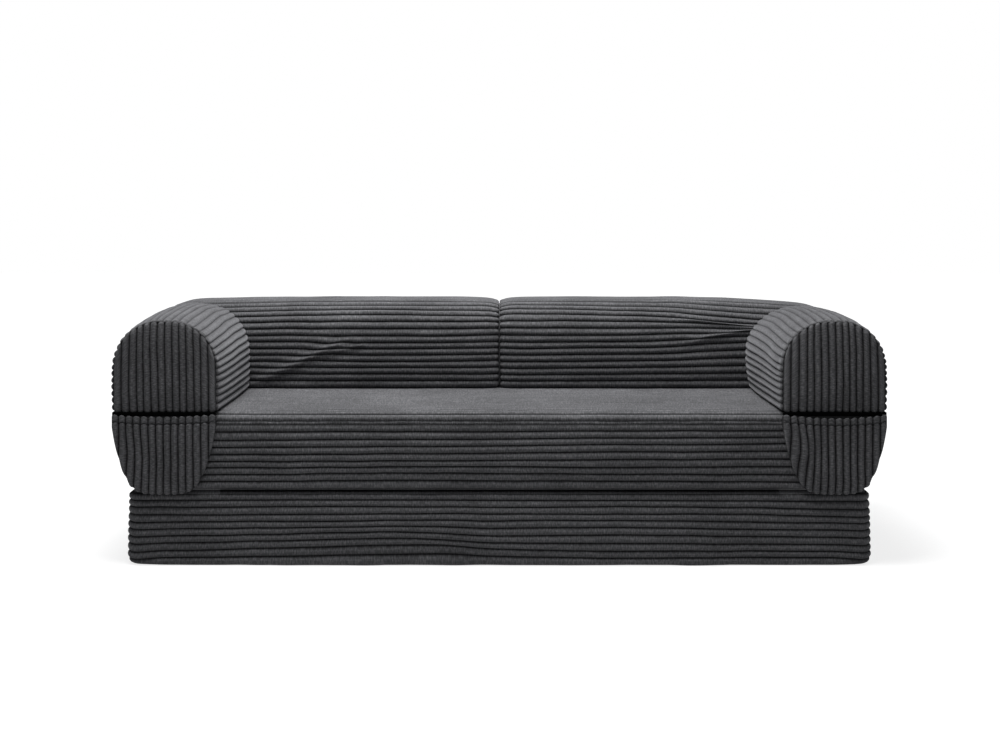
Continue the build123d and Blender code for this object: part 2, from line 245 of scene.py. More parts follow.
FOAM_GIVE = 0.8 * MM
SETTLE_FRAMES = 20
PRESSURE, SLACK = 1.2, 0.004
# How many coarse points run across and along a cover, and how far each may move out
BAND_CELLS, BAND_CAP = (13, 260), 4 * MM
PANEL_CELLS, SEAT_CAP = (44, 110), 2.5 * MM
WRAP_CELLS, WRAP_CAP = (44, 60), 4 * MM
END_CELLS, END_CAP = (28, 28), 3 * MM


def spline_weights(t, count):
    """A matrix that spreads count even samples to the places t, by the cubic B-spline's weights."""
    place = np.clip(t, 0, 1) * (count - 1)
    cell = np.minimum(place.astype(int), count - 2)
    f = place - cell
    parts = [(1 - f) ** 3, 3 * f**3 - 6 * f**2 + 4, -3 * f**3 + 3 * f**2 + 3 * f + 1, f**3]
    weights = np.zeros((len(t), count))
    for shift, part in zip((-1, 0, 1, 2), parts):
        np.add.at(weights, (np.arange(len(t)), np.clip(cell + shift, 0, count - 1)), part / 6)
    return weights


def blown_up(points):
    """Runs Blender's cloth on a grid whose whole edge is sewn fast, and returns its points."""
    n, m = points.shape[:2]
    index = np.arange(n * m).reshape(n, m)
    quad = [index[:-1, :-1], index[1:, :-1], index[1:, 1:], index[:-1, 1:]]
    mesh = bpy.data.meshes.new("trial")
    faces = np.stack(quad, axis=2).reshape(-1, 4)
    mesh.from_pydata(points.reshape(-1, 3).tolist(), [], faces.tolist())
    trial = placed("trial", mesh)
    sewn = np.ones((n, m), bool)
    sewn[1:-1, 1:-1] = False
    trial.vertex_groups.new(name="seam").add(index[sewn].tolist(), 1.0, "REPLACE")
    cloth = trial.modifiers.new("cloth", "CLOTH")
    cloth.collision_settings.use_collision = False
    settings = cloth.settings
    settings.quality, settings.mass = 5, 0.3
    settings.tension_stiffness = settings.compression_stiffness = 14
    settings.shear_stiffness, settings.bending_stiffness = 7, 1.5
    settings.use_pressure, settings.uniform_pressure_force = True, PRESSURE
    settings.shrink_min = -SLACK
    settings.vertex_group_mass = "seam"
    settings.effector_weights.gravity = 0
    for frame_number in range(1, SETTLE_FRAMES + 1):
        scene.frame_set(frame_number)
    shown = trial.evaluated_get(bpy.context.evaluated_depsgraph_get())
    result = np.empty(n * m * 3)
    shown.data.vertices.foreach_get("co", result)
    scene.frame_set(1)
    bpy.data.objects.remove(trial)
    bpy.data.meshes.remove(mesh)
    return result.reshape(n, m, 3)


def settled(form, centre, across, along, cells, cap):
    """How far each fine point moves out: the coarse cloth's move along its normals, capped.

    The cap bends the move by cap * tanh(move / cap), and a move inwards by the foam's give.
    """
    rest = form(np.linspace(0, 1, cells[0])[:, None], np.linspace(0, 1, cells[1])[None, :])[0]
    normal, sense = normals_of(rest, centre)
    pushed = blown_up(rest if sense > 0 else rest[:, ::-1])
    pushed = pushed if sense > 0 else pushed[:, ::-1]
    move = np.sum((pushed - rest) * normal, axis=2)
    move = np.where(move > 0, cap * np.tanh(move / cap), FOAM_GIVE * np.tanh(move / FOAM_GIVE))
    return spline_weights(across, cells[0]) @ move @ spline_weights(along, cells[1]).T


# %% [markdown]
# ## From a form to a corded cover
#
# A form is a function of two shares, one across the cords and one along them. It gives the
# ground of the cloth, and how far each point is from the seam at which its cord ends. The cords
# are then laid on it: they wander a little, differ a little in plumpness, end rounded at a seam,
# and lie flat where a strip or a zipper is sewn on.

# %% Laying cords on a form

CORD_END = 6 * MM
END_STRAY = 2 * MM
WANDER = 0.34
PLUMPNESS = 0.14
# Each noise's share of the wander, the cords it is shared by, its length and what its seed adds
STRAYS = ((1.0, 6.0, 0.6, 0), (0.3, 1.4, 0.35, 1), (0.15, 2.0, 0.09, 4))


class Grid:
    """A grid of points with the cord value, which sets the painted shade of its valleys, and the
    place on the cloth at each one.
    """

    def __init__(self, points, cord, along, across, sense):
        shape = points.shape[:2]
        self.points, self.sense = points, sense
        self.cord = np.broadcast_to(cord, shape)
        self.uv = np.stack([np.broadcast_to(along, shape), np.broadcast_to(across, shape)], axis=2)


def sheet_grid(points, centre, along, across, cord=1.0):
    """A grid of cloth without cords laid on it, which faces away from centre."""
    return Grid(points, cord, along, across, normals_of(points, centre)[1])


def flattened(height, mask):
    """Cord height where a strip or tape is sewn over it: level, just under the tape."""
    return height * (1 - mask) + (CORD_HEIGHT - 1 * MM) * mask


def corded(form, centre, count, along, length, seed, rolled=(False, False), push=None, mask=None,
           bend=None, relief=1.0):
    """Cords on a form: its ground, moved out by push, with cord_shape along its normals.

    Wandering shifts a cord sideways by slow noises that fade at the outer seams, some shared by
    several cords and some of one cord alone. Bend adds a shift of its own. Where the cloth is
    stretched the relief is low. The cord value is low in the valleys and at the rounded ends by a
    seam, where the material paints shade, and the relief weakens that painted shade by its square.
    """
    rows = cord_rows(count)
    share, place = rows[:, None] / count, along[None, :]

    def noise(cords, reach, more):
        return drift(rows[:, None], place * length, cords, reach, seed + more)

    stray = sum(WANDER * size * noise(cords, reach, more) for size, cords, reach, more in STRAYS)
    if bend is not None:
        stray = stray + bend(share, place * length) * count
    fade = np.clip(6 * share * (1 - share), 0, 1)
    bent = share + stray * fade / count
    points, gap = form(bent, place)
    normal, sense = normals_of(points, centre)
    moved = np.zeros(points.shape[:2]) if push is None else push(rows / count, along)
    plump = 1 + PLUMPNESS * noise(1.0, 0.08, 2)
    late = END_STRAY * (0.5 + 0.5 * noise(1.0, 0.3, 3))
    full, end = cord_shape(rows, rolled)[:, None], round_end(gap - late, CORD_END)
    shape = full * end
    height = relief * CORD_HEIGHT * shape * plump
    cover = np.zeros(points.shape[:2]) if mask is None else mask(points)
    height = flattened(height, cover) + moved * (1 - cover)
    points = points + normal * height[:, :, None]
    # Painted shade: the cord value is low in the valleys and at the rounded ends by a seam.
    cord = 1 - relief**2 * (1 - full * (0.2 + 0.8 * end))
    cord = cord * (1 - cover) + cover
    return Grid(points, cord, place * length, rows[:, None] * CORD_PITCH, sense)


def skirted(grid, depth, ends=(True, True)):
    """Adds a narrow skirt beyond the chosen edges, across and along, that closes the seam. On
    corduroy its cord value of 0 paints it dark, as shade in the seam.
    """
    edges = ((int(ends[0]),) * 2, (int(ends[1]),) * 2)
    points = np.pad(grid.points, edges + ((0, 0),), mode="edge")
    rim = np.ones(points.shape[:2], bool)
    rim[edges[0][0]: rim.shape[0] - edges[0][0], edges[1][0]: rim.shape[1] - edges[1][0]] = False
    points = np.where(rim[:, :, None], points + depth, points)
    cord = np.pad(grid.cord, edges)
    uv = np.pad(grid.uv, edges + ((0, 0),), mode="edge")
    return Grid(points, cord, uv[:, :, 0], uv[:, :, 1], grid.sense)


# %% Making a mesh and dressing the model with it


WELD = 0.05 * MM


def mesh_of(name, grids):
    """One mesh of several grids, with the attribute cord and a UV map of the cloth."""
    points, faces, cords, uvs, start = [], [], [], [], 0
    for grid in grids:
        n, m = grid.points.shape[:2]
        index = np.arange(n * m).reshape(n, m) + start
        quad = [index[:-1, :-1], index[1:, :-1], index[1:, 1:], index[:-1, 1:]]
        faces.append(np.stack(quad[:: int(grid.sense)], axis=2).reshape(-1, 4))
        points.append(grid.points.reshape(-1, 3))
        cords.append(grid.cord.ravel())
        uvs.append(grid.uv.reshape(-1, 2))
        start += n * m
    faces = np.concatenate(faces)
    mesh = bpy.data.meshes.new(name)
    mesh.from_pydata(np.concatenate(points).tolist(), [], faces.tolist())
    # The attribute cord sets the corduroy's painted shade in the valleys and seams.
    cord = mesh.attributes.new("cord", "FLOAT", "POINT")
    cord.data.foreach_set("value", np.concatenate(cords).astype(np.float32))
    layer = mesh.uv_layers.new(name="cloth")
    layer.data.foreach_set("uv", np.concatenate(uvs)[faces.ravel()].ravel().astype(np.float32))
    work = bmesh.new()
    work.from_mesh(mesh)
    bmesh.ops.remove_doubles(work, verts=work.verts, dist=WELD)
    work.to_mesh(mesh)
    work.free()
    mesh.polygons.foreach_set("use_smooth", np.ones(len(mesh.polygons), bool))
    mesh.update()
    return mesh


def piece(name, grids, body, material, replaces=()):
    """Makes a piece, hangs it on its body and hides the imported parts it stands for."""
    made = placed(name, mesh_of(name, grids))
    made.data.materials.append(material)
    if body:
        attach(made, body)
    if replaces:
        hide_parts(*replaces)
    print("%-24s %6d faces on %s" % (name, len(made.data.polygons), body))
    return made


# %% [markdown]
# ## Materials
#
# The charcoal corduroy is a soft pile. Light that grazes it lights the tips of the pile, which
# the sheen of the shader gives. The pile lies in brushed streaks along each cord, and some patches
# are a little lighter where it was pressed. The valleys between the cords are darker, partly as
# the bare ground cloth and partly as painted shade, and lose their sheen. The crests are a little
# lighter, partly as rubbed pile and partly as a painted highlight, and short tufts are painted
# lighter as highlights. The other cloths are plainer: a smooth base cloth, a white liner, open
# foam, and a near-black cloth that is painted shadow in gaps.

# %% Short ways to make and join shader nodes


def new_material(name):
    """A material, and functions that add a node, make a bump's normal and feed the shader.

    Inputs are given by name, as a value for the socket or as the socket that feeds it.
    """
    material = bpy.data.materials.new(name)
    material.use_nodes = True
    tree = material.node_tree

    def feed(node, inputs):
        for key, value in inputs.items():
            if isinstance(value, bpy.types.NodeSocket):
                tree.links.new(value, node.inputs[key])
            else:
                node.inputs[key].default_value = value
        return node

    def add(kind, inputs=None, **settings):
        node = tree.nodes.new("ShaderNode" + kind)
        for key, value in settings.items():
            setattr(node, key, value)
        return feed(node, inputs or {})

    def bump(height, strength, distance, **more):
        inputs = {"Height": height, "Strength": strength, "Distance": distance, **more}
        return add("Bump", inputs).outputs["Normal"]

    def shade(inputs):
        feed(tree.nodes["Principled BSDF"], inputs)

    return material, add, bump, shade


def grey(value, blue=1.0):
    """A colour of one lightness, with its blue raised a little."""
    return (value, value, value * blue, 1.0)


def mix_colour(add, factor, first, second, blend="MIX"):
    """The colour socket of a mix of two colours."""
    node = add("Mix", {"Factor": factor, "A": first, "B": second}, data_type="RGBA", blend_type=blend)
    return node.outputs["Result"]


# %% Charcoal corduroy

# The pile's colour. The cord value darkens it in the valleys as painted shade and lightens the crests
# as rubbed pile and painted highlight; the tufts are painted lighter as highlights.
PILE_DARK, PILE_LIGHT = 0.056, 0.104
VALLEY_SHADE, CREST_RUB_AND_HIGHLIGHT = 0.24, 1.08
TUFT_PAINTED_HIGHLIGHT = 1.9
SHEEN = 0.3


def corduroy(name):
    """Wide corduroy: brushed patches and streaks, dark valleys with painted shade, and tufts painted
    lighter as highlights.

    The cloth's UV map is in metres, u along the cords and v across them. Streaks are a noise
    that is stretched along u, and the tufts are short marks across the cords in a noise that is
    stretched along v. The attribute cord darkens the valleys and seams, partly as bare ground
    cloth and partly as painted shade, and fades the sheen there. It lightens the crests a little,
    partly as rubbed pile and partly as a painted highlight.
    """
    material, add, bump, shade = new_material(name)
    place = add("TexCoord").outputs["Object"]
    cloth = add("UVMap", uv_map="cloth").outputs["UV"]

    def ranged(value, low, high, to_low=0.0, to_high=1.0):
        span = {"From Min": low, "From Max": high, "To Min": to_low, "To Max": to_high}
        return add("MapRange", {"Value": value, **span}).outputs[0]

    def noise(vector, scale, detail, roughness):
        inputs = {"Vector": vector, "Scale": scale, "Detail": detail, "Roughness": roughness}
        return add("TexNoise", inputs).outputs["Fac"]

    def stretched(u, v):
        return add("Mapping", {"Vector": cloth, "Scale": (u, v, 1.0)}).outputs["Vector"]

    patches = noise(place, 6.0, 4.0, 0.6)
    streaks = noise(stretched(12.0, 240.0), 1.0, 3.0, 0.7)
    tufts = noise(stretched(250.0, 95.0), 1.0, 2.0, 0.6)
    pile = noise(place, 700.0, 2.0, 0.6)
    both = add("Math", {0: patches, 1: streaks}, operation="ADD").outputs[0]
    tone = mix_colour(add, ranged(both, 0.72, 1.3), grey(PILE_DARK, 1.05), grey(PILE_LIGHT, 1.05))
    # Tufts painted lighter as highlights, where the tips of the pile catch the light.
    tone_and_tuft_highlights = mix_colour(add, 1.0, tone, ranged(tufts, 0.42, 0.76, 0.75, TUFT_PAINTED_HIGHLIGHT), "MULTIPLY")
    height = add("Attribute", attribute_name="cord").outputs["Fac"]
    # Painted shade in the valleys and seams, and a painted highlight on the crests, from the cord
    # value.
    shaded = ranged(height, 0.15, 1.0, VALLEY_SHADE, CREST_RUB_AND_HIGHLIGHT)
    shade({
        "Base Color": mix_colour(add, 1.0, tone_and_tuft_highlights, shaded, "MULTIPLY"),
        "Roughness": ranged(pile, 0.3, 0.7, 0.82, 0.98),
        "Specular IOR Level": 0.15,
        # No sheen in the valleys, as painted shade.
        "Sheen Weight": ranged(height, 0.25, 1.0, 0.0, SHEEN),
        "Sheen Roughness": 0.6,
        "Sheen Tint": (0.86, 0.86, 0.9, 1.0),
        "Normal": bump(tufts, 0.45, 1.2 * MM, Normal=bump(pile, 0.5, 0.9 * MM)),
    })
    return material


cord_cloth = corduroy("charcoal_corduroy")

# %% Plain cloths, foam, strips and zipper metal


def woven(name, colour, thread_scale, sheen=0.1, specular=0.25):
    """A plain weave: two sets of fine waves for warp and weft, and a slow change of tone."""
    material, add, bump, shade = new_material(name)
    place = add("TexCoord").outputs["Object"]
    thread = {"Vector": place, "Scale": thread_scale, "Distortion": 0.6}
    warp, weft = (add("TexWave", thread, wave_type="BANDS", bands_direction=way).outputs["Fac"]
                  for way in "XY")
    weave = add("Math", {0: warp, 1: weft}, operation="MAXIMUM").outputs[0]
    wear = add("TexNoise", {"Vector": place, "Scale": 9.0, "Detail": 5.0, "Roughness": 0.65})
    darker = tuple(c * 0.72 for c in colour[:3]) + (1.0,)
    lighter = tuple(min(1.0, c * 1.2) for c in colour[:3]) + (1.0,)
    shade({"Base Color": mix_colour(add, wear.outputs["Fac"], darker, lighter), "Roughness": 0.9,
           "Sheen Weight": sheen, "Specular IOR Level": specular,
           "Normal": bump(weave, 0.4, 0.25 * MM)})
    return material


def open_foam(name, colour, aged_colour):
    """Cut foam: small cells as pits, and a slightly yellowed tone that drifts."""
    material, add, bump, shade = new_material(name)
    place = add("TexCoord").outputs["Object"]
    cells = add("TexVoronoi", {"Vector": place, "Scale": 420.0}, feature="F1").outputs["Distance"]
    aged = add("TexNoise", {"Vector": place, "Scale": 4.0, "Detail": 3.0}).outputs["Fac"]
    shade({"Base Color": mix_colour(add, aged, colour, aged_colour), "Roughness": 0.95,
           "Normal": bump(cells, 0.6, 1.0 * MM)})
    return material


def bristly(name, colour, knot_colour):
    """Hook or loop tape: a close field of tiny knots in rows."""
    material, add, bump, shade = new_material(name)
    field = {"Vector": add("TexCoord").outputs["Object"], "Scale": 700.0, "Randomness": 0.5}
    knots = add("TexVoronoi", field, feature="F1").outputs["Distance"]
    shade({"Base Color": mix_colour(add, knots, colour, knot_colour), "Roughness": 0.7,
           "Normal": bump(knots, 0.8, 0.9 * MM)})
    return material


def worn_metal(name, colour, rubbed_colour):
    """Dark plated metal, rubbed a little brighter in places."""
    material, add, _, shade = new_material(name)
    place = add("TexCoord").outputs["Object"]
    rub = add("TexNoise", {"Vector": place, "Scale": 260.0, "Detail": 4.0, "Roughness": 0.7})
    rub = rub.outputs["Fac"]
    span = {"Value": rub, "From Min": 0.3, "From Max": 0.7, "To Min": 0.25, "To Max": 0.5}
    shade({"Base Color": mix_colour(add, rub, colour, rubbed_colour), "Metallic": 1.0,
           "Roughness": add("MapRange", span).outputs[0]})
    return material


base_cloth = woven("base_cloth", grey(0.028, 1.06), 380.0)
# A near-black cloth without sheen or specular, for the hinge gap and the pockets' hangers: painted
# shadow where there is only shade.
painted_shadow_cloth = woven("painted_shadow_cloth", grey(0.002), 380.0, sheen=0.0, specular=0.0)
liner_cloth = woven("liner_cloth", (0.72, 0.72, 0.7, 1.0), 300.0, sheen=0.0)
tape_cloth = woven("zipper_tape_cloth", grey(0.02, 1.05), 520.0)
foam = open_foam("foam", (0.82, 0.77, 0.6, 1.0), (0.7, 0.62, 0.42, 1.0))
strip_cloth = bristly("hook_and_loop", grey(0.014), grey(0.06))
zipper_metal = worn_metal("zipper_metal", (0.22, 0.22, 0.23, 1.0), (0.55, 0.55, 0.56, 1.0))

# %% [markdown]
# ## The mattresses
#
# Each mattress cover is a border band whose cords run round all four sides, between a top and a
# bottom panel whose cords run along the sofa. The band is a wall swept round the plan. At the
# floor its last cord is rolled under. Where a zipper or a strip is sewn on, the cords are flat.

# %% The plan of a mattress, as a closed loop with its outward direction


LOOP_STEP, LOOP_CORNER_POINTS = 11 * MM, 12


def plan_loop():
    """Points round the mattress from the middle of its rear side, with outward directions.

    Straight sides join quarter circles of the plan's corner radius.
    """
    x_run, y_run = HALF_X - PLAN_CORNER, HALF_Y - PLAN_CORNER
    place, angle = [], []
    for side, half in enumerate((x_run, y_run, x_run, y_run, x_run)):
        heading = np.pi / 2 - side * np.pi / 2
        out = np.array([np.cos(heading), np.sin(heading)])
        along = np.array([np.sin(heading), -np.cos(heading)])
        reach = (y_run if side % 2 == 0 else x_run) + PLAN_CORNER
        first, last = (0 if side == 0 else -half), (0 if side == 4 else half)
        t = np.linspace(first, last, int((last - first) / LOOP_STEP))
        place.append(out * reach + along * t[:, None])
        angle.append(np.full(len(t), heading))
        if side < 4:
            turn = np.linspace(0, np.pi / 2, LOOP_CORNER_POINTS + 2)[1:-1]
            centre = out * (reach - PLAN_CORNER) + along * half
            rim = np.stack([np.cos(heading - turn), np.sin(heading - turn)], axis=1)
            place.append(centre + PLAN_CORNER * rim)
            angle.append(heading - turn)
    place, angle = np.concatenate(place), np.concatenate(angle)
    place[:, 1] += MIDDLE_Y
    walked = np.append(0, np.cumsum(np.linalg.norm(np.diff(place, axis=0), axis=1)))
    return place, np.stack([np.cos(angle), np.sin(angle)], axis=1), walked / walked[-1], walked[-1]


def on_loop(values, shares, along):
    """Values known at shares of the loop, in two columns, at other places along it."""
    return (np.interp(along, shares, values[:, i]) for i in (0, 1))


# %% The border band

FLOOR_ROLL, CORNER_ROLL = 4.5 * MM, 11 * MM
SEAM_ROLL = 4.5 * MM
CORNER_REACH = 120 * MM
TURNED_IN = 8 * MM
# How far, in cords, painted shade reaches from a band's top seam and from a bolster's feet.
PAINTED_SHADE_REACH = 0.45
TAPE_ROOM_X, TAPE_ROOM_Z = 9 * MM, 3 * MM
BESIDE_POCKETS, UNDER_POCKETS = 0.56, 0.70


def within(x, low, high, room):
    """1 between low and high, fading to 0 over the room on either side."""
    return smooth(x, low - room, low) * smooth(-x, -high - room, -high)


def sewn_over(low, high):
    """Where a rear zipper's tape covers the cords: 1 inside its box, fading round it."""

    def mask(points):
        x, y, z = points[..., 0], points[..., 1], points[..., 2]
        inside = within(z, low[2], high[2], TAPE_ROOM_Z) * within(x, low[0], high[0], TAPE_ROOM_X)
        at_rear = y > low[1] - 60 * MM
        return inside * at_rear

    return mask


def near_corner(x, y):
    """1 at a corner of the plan, fading to 0 along both sides of it."""
    near_end = smooth(np.abs(x), HALF_X - CORNER_REACH, HALF_X)
    return near_end * smooth(np.abs(y - MIDDLE_Y), HALF_Y - CORNER_REACH, HALF_Y)


def behind_pocket(x, outward_y):
    """1 where the front of a band faces a pocket, fading to 0 beside it and round the corner."""
    return smooth(np.abs(x), BESIDE_POCKETS, UNDER_POCKETS) * np.clip(-outward_y, 0, 1)


def border_band(low, high, low_roll, high_roll, bulge, flare, tape, seed, rolled=False, bend=None,
                corner_roll=0.0):
    """The band of a mattress: a wall that rolls in at both edges, swept round the plan.

    With d the distance up the wall, each roll is a quarter circle of its own radius, and the
    lower one is wider at the corners. The wall bulges by the squared sine of the share of its
    height, and flares towards its lower edge by the square of what is left of the height. It
    stays flat where a pocket faces it, at rest or unfolded.
    """
    place, out, shares, length = plan_loop()
    count = int(round((high - low + (np.pi / 2 - 1) * (low_roll + high_roll)) / CORD_PITCH))
    middle = np.array([0, MIDDLE_Y, (low + high) / 2])

    def form(share, along):
        x, y = on_loop(place, shares, along)
        ox, oy = on_loop(out, shares, along)
        first, last = low_roll + corner_roll * near_corner(x, y), high_roll
        wall = high - low - first - last
        d = share * (np.pi / 2 * (first + last) + wall)
        a = np.clip(d / first, 0, np.pi / 2)
        up = d - np.pi / 2 * first
        b = np.clip((up - wall) / last, 0, np.pi / 2)
        z = low + first * (1 - np.cos(a)) + np.clip(up, 0, wall) + last * np.sin(b)
        inset = CORD_HEIGHT + first * (1 - np.sin(a)) + last * (1 - np.cos(b))
        height = np.clip(share, 0, 1)
        swell = bulge * np.sin(np.pi * height) ** 2 + flare * (1 - height) ** 2
        inset = inset - swell * (1 - behind_pocket(x, oy))
        points = stacked(x - ox * inset, y - oy * inset, z)
        return points, np.ones(points.shape[:2])

    def push(across, along):
        return settled(form, middle, across, along, BAND_CELLS, BAND_CAP) * free

    free = 1 - behind_pocket(place[:, 0], out[:, 1])
    grid = corded(form, middle, count, shares, length, seed, (rolled, False), push,
                  sewn_over(*tape), bend)
    grid.points[:, -1] = grid.points[:, 0]
    # Painted shade along the top seam: the cord value falls to 0 over part of the last cord.
    grid.cord = grid.cord * smooth(count - cord_rows(count), 0.0, PAINTED_SHADE_REACH)[:, None]
    inward = np.concatenate([-out, 0 * out[:, :1]], axis=1)
    lowest = (np.arange(len(grid.points) + 2) == 0)[:, None, None]
    return skirted(grid, TURNED_IN * inward * lowest, (True, False))


# %% The top and bottom panels


def round_plan(x, y, inset):
    """Moves points of a rectangle so that its corners become quarter circles.

    In each corner's square, the larger of the two distances from the square's inner corner
    becomes the radius, and their ratio becomes the angle.
    """
    middle, radius = MIDDLE_Y, PLAN_CORNER - inset
    inner_x, inner_y = HALF_X - PLAN_CORNER, HALF_Y - PLAN_CORNER
    a = np.clip(np.abs(x) - inner_x, 0, radius)
    b = np.clip(np.abs(y - middle) - inner_y, 0, radius)
    far, near = np.maximum(a, b), np.minimum(a, b)
    angle = np.pi / 4 * near / np.maximum(far, 1e-9)
    major, minor = far * np.cos(angle), far * np.sin(angle)
    new_a, new_b = np.where(a >= b, major, minor), np.where(a >= b, minor, major)
    inside = (a > 0) & (b > 0)
    x = np.where(inside, np.sign(x) * (inner_x + new_a), x)
    y = np.where(inside, middle + np.sign(y - middle) * (inner_y + new_b), y)
    return x, y


def rolled_over(share, low, high, roll):
    """A place along a panel that rolls down at both ends, and its height as a share of the roll."""
    arc, flat = np.pi / 2 * roll, high - low - 2 * roll
    d = share * (2 * arc + flat)
    a, b = np.clip(d / roll, 0, np.pi / 2), np.clip((d - arc - flat) / roll, 0, np.pi / 2)
    place = low + roll * (1 - np.cos(a)) + np.clip(d - arc, 0, flat) + roll * np.sin(b)
    return place, np.sin(a) - (1 - np.cos(b))


def panel(seam, top, inset, strips, seed, columns=150, cap=0.0, relief=1.0):
    """A ridged panel between a mattress's seams, from the height of its seam to its top or bottom.

    Both ways across it is a flat sheet with quarter-circle rolls, and its height over the seam
    is the product of the two rolls' heights. Strips are boxes over which cords lie flat.
    """
    roll = abs(top - seam) - CORD_HEIGHT
    up = 1 if top > seam else -1
    count = int(round((REAR - FRONT - 2 * inset + (np.pi - 2) * roll) / CORD_PITCH))
    below = np.array([0, MIDDLE_Y, seam - up * 0.1])

    def form(share, along):
        y, lift_y = rolled_over(share, FRONT + inset, REAR - inset, roll)
        x, lift_x = rolled_over(along, -HALF_X + inset, HALF_X - inset, roll)
        gap = np.minimum(along, 1 - along) * 2 * HALF_X + 0 * y
        z = seam + up * (roll - 0.8 * MM) * lift_x * lift_y
        x, y = round_plan(x + 0 * y, y + 0 * x, inset)
        return stacked(x, y, z), gap

    def push(across, along):
        return settled(form, below, across, along, PANEL_CELLS, cap)

    def mask(points):
        x, y = points[..., 0], points[..., 1]
        cover = np.zeros_like(x)
        for low, high in strips:
            over = within(x, low[0], high[0], 6 * MM) * within(y, low[1], high[1], 4 * MM)
            cover = np.maximum(cover, over)
        return cover

    return corded(form, below, count, eased(columns, 0.6), 2 * HALF_X, seed,
                  push=push if cap else None, mask=mask, relief=relief)


# %% Both mattress covers

LINER_CORNER = 10 * MM
WELT = 7.5 * MM
seam_above_base = FOLD_Z - CORD_HEIGHT - 2.5 * MM
seam_below_seat = FOLD_Z + CORD_HEIGHT + 2 * MM
welt_top = SEAM_Z + 4 * MM


def strip_boxes(node, parts):
    """The boxes of a node's strips, which lie side by side along X."""
    corners = np.array([v.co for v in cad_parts[node].data.vertices])
    edges = np.unique(np.round(corners[:, 0], 4)).reshape(parts, 2)
    low, high = corners.min(axis=0), corners.max(axis=0)
    return [((a, low[1], low[2]), (b, high[1], high[2])) for a, b in edges]


loop_boxes = strip_boxes("seat_arm_loop_strips", 2) + strip_boxes("seat_back_loop_strips", 4)


def dragged(along_from, along_to, share_middle, share_width, amount):
    """Cords that step sideways between two places along the band, as if the cover had slipped."""

    def bend(share, along):
        near = np.exp(-(((share - share_middle) / share_width) ** 2))
        return amount * near * smooth(along, along_from, along_to)

    return bend


def base_bend(share, along):
    """A step near the middle of the front, a longer one back, and a pinch just over the floor."""
    step = dragged(2.76, 2.99, 0.25, 0.35, 0.05)(share, along)
    back = dragged(3.0, 3.8, 0.25, 0.35, -0.05)(share, along)
    near_floor = np.sin(np.pi * np.clip(share / 0.25, 0, 1))
    pinch = 0.03 * np.exp(-(((along - 2.9) / 0.07) ** 2)) * near_floor
    return step + back + pinch


PANEL_GAP = 0.15 * MM
mattress_covers = {
    "base_border": ("base_border_band", border_band(
        CORD_HEIGHT + 1.1 * MM, seam_above_base, FLOOR_ROLL, SEAM_ROLL, 2 * MM, 6 * MM,
        box_of("base_zipper_tape"), 11, rolled=True, bend=base_bend, corner_roll=CORNER_ROLL)),
    "seat_border": ("seat_border_band", border_band(
        seam_below_seat, welt_top - WELT, 3 * MM, 1.5 * MM, 4 * MM, 3 * MM,
        box_of("seat_zipper_tape"), 21)),
    "seat_top": ("seat_top_panel", panel(
        welt_top, SEAT_Z, LINER_CORNER - 1.5 * MM, loop_boxes, 31, 220, SEAT_CAP, 0.85)),
    "seat_bottom": ("seat_bottom_panel", panel(
        seam_below_seat, FOLD_Z + PANEL_GAP, LINER_CORNER, [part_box("seat_hinge_strip")], 41)),
    "base_top": ("base_top_panel", panel(
        seam_above_base, FOLD_Z - PANEL_GAP, LINER_CORNER, [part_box("base_hinge_strip")], 51)),
}
for name, (node, grid) in mattress_covers.items():
    piece(name, [grid], name.split("_")[0], cord_cloth, [node])

# %% [markdown]
# ### The seam round the top, and the underside
#
# The hinge cloth is near black, as painted shadow in the gap between the mattresses.
# The stitched seam's two edges are painted darker, as shade in their creases.
# Along the top seam the edge of the cloth is folded under and stitched twice, which leaves a
# narrow band between two dark lines. It is a shallow arch swept round the plan, and it puckers
# between stitches. The underside is plain cloth that just clears the floor. Between the
# mattresses the hinge cloth lies folded. It stops beside the pockets, which hang there.

# %% The welt, the underside and the hinge cloth

STITCH = 7 * MM
TUCK = 2.5 * MM


def welt(low, high, seed):
    """A shallow arch between two heights, swept round the plan, that swells between stitches."""
    place, out, shares, length = plan_loop()
    along = np.linspace(0, 1, int(length / (STITCH / 3)))[None, :]
    share = np.linspace(0, 1, 9)[:, None]
    stitch = 0.5 + 0.5 * np.cos(2 * np.pi * along * round(length / STITCH))
    swell = 1 + 0.25 * drift(along * length, share, 0.03, 1.0, seed) - 0.3 * stitch
    rise = 6.5 * MM * np.sin(np.pi * share) ** 0.7 * swell
    stray = 1.1 * MM * drift(along * length, share * 0, 0.06, 1.0, seed + 1)
    z = low + (high - low) * share + stray
    x, y = on_loop(place, shares, along)
    ox, oy = on_loop(out, shares, along)
    inset = LINER_CORNER - 0.5 * MM - rise
    points = stacked(x - ox * inset, y - oy * inset, z)
    points[:, -1] = points[:, 0]
    # The cord value falls towards both edges: painted shade in the creases at the stitches.
    return sheet_grid(points, np.array([0, MIDDLE_Y, low]), along * length, share * WELT,
                      0.35 + 0.65 * np.sin(np.pi * share))


def underside(inset, level, seed):
    """The flat cloth under a mattress, which ripples by half a millimetre."""
    share, along = eased(60, 0.4)[:, None], eased(120, 0.4)[None, :]
    y = FRONT + inset + share * (REAR - FRONT - 2 * inset)
    x = -HALF_X + inset + along * 2 * (HALF_X - inset)
    x, y = round_plan(x + 0 * y, y + 0 * x, inset)
    pulled = 0.9 * CORNER_ROLL * near_corner(x, y)
    x, y = x - np.sign(x) * pulled, y - np.sign(y - MIDDLE_Y) * pulled
    z = level + 0.5 * MM * drift(x, y, 0.06, 0.06, seed)
    return sheet_grid(stacked(x, y, z), np.array([0, 0, 1.0]), x, y)


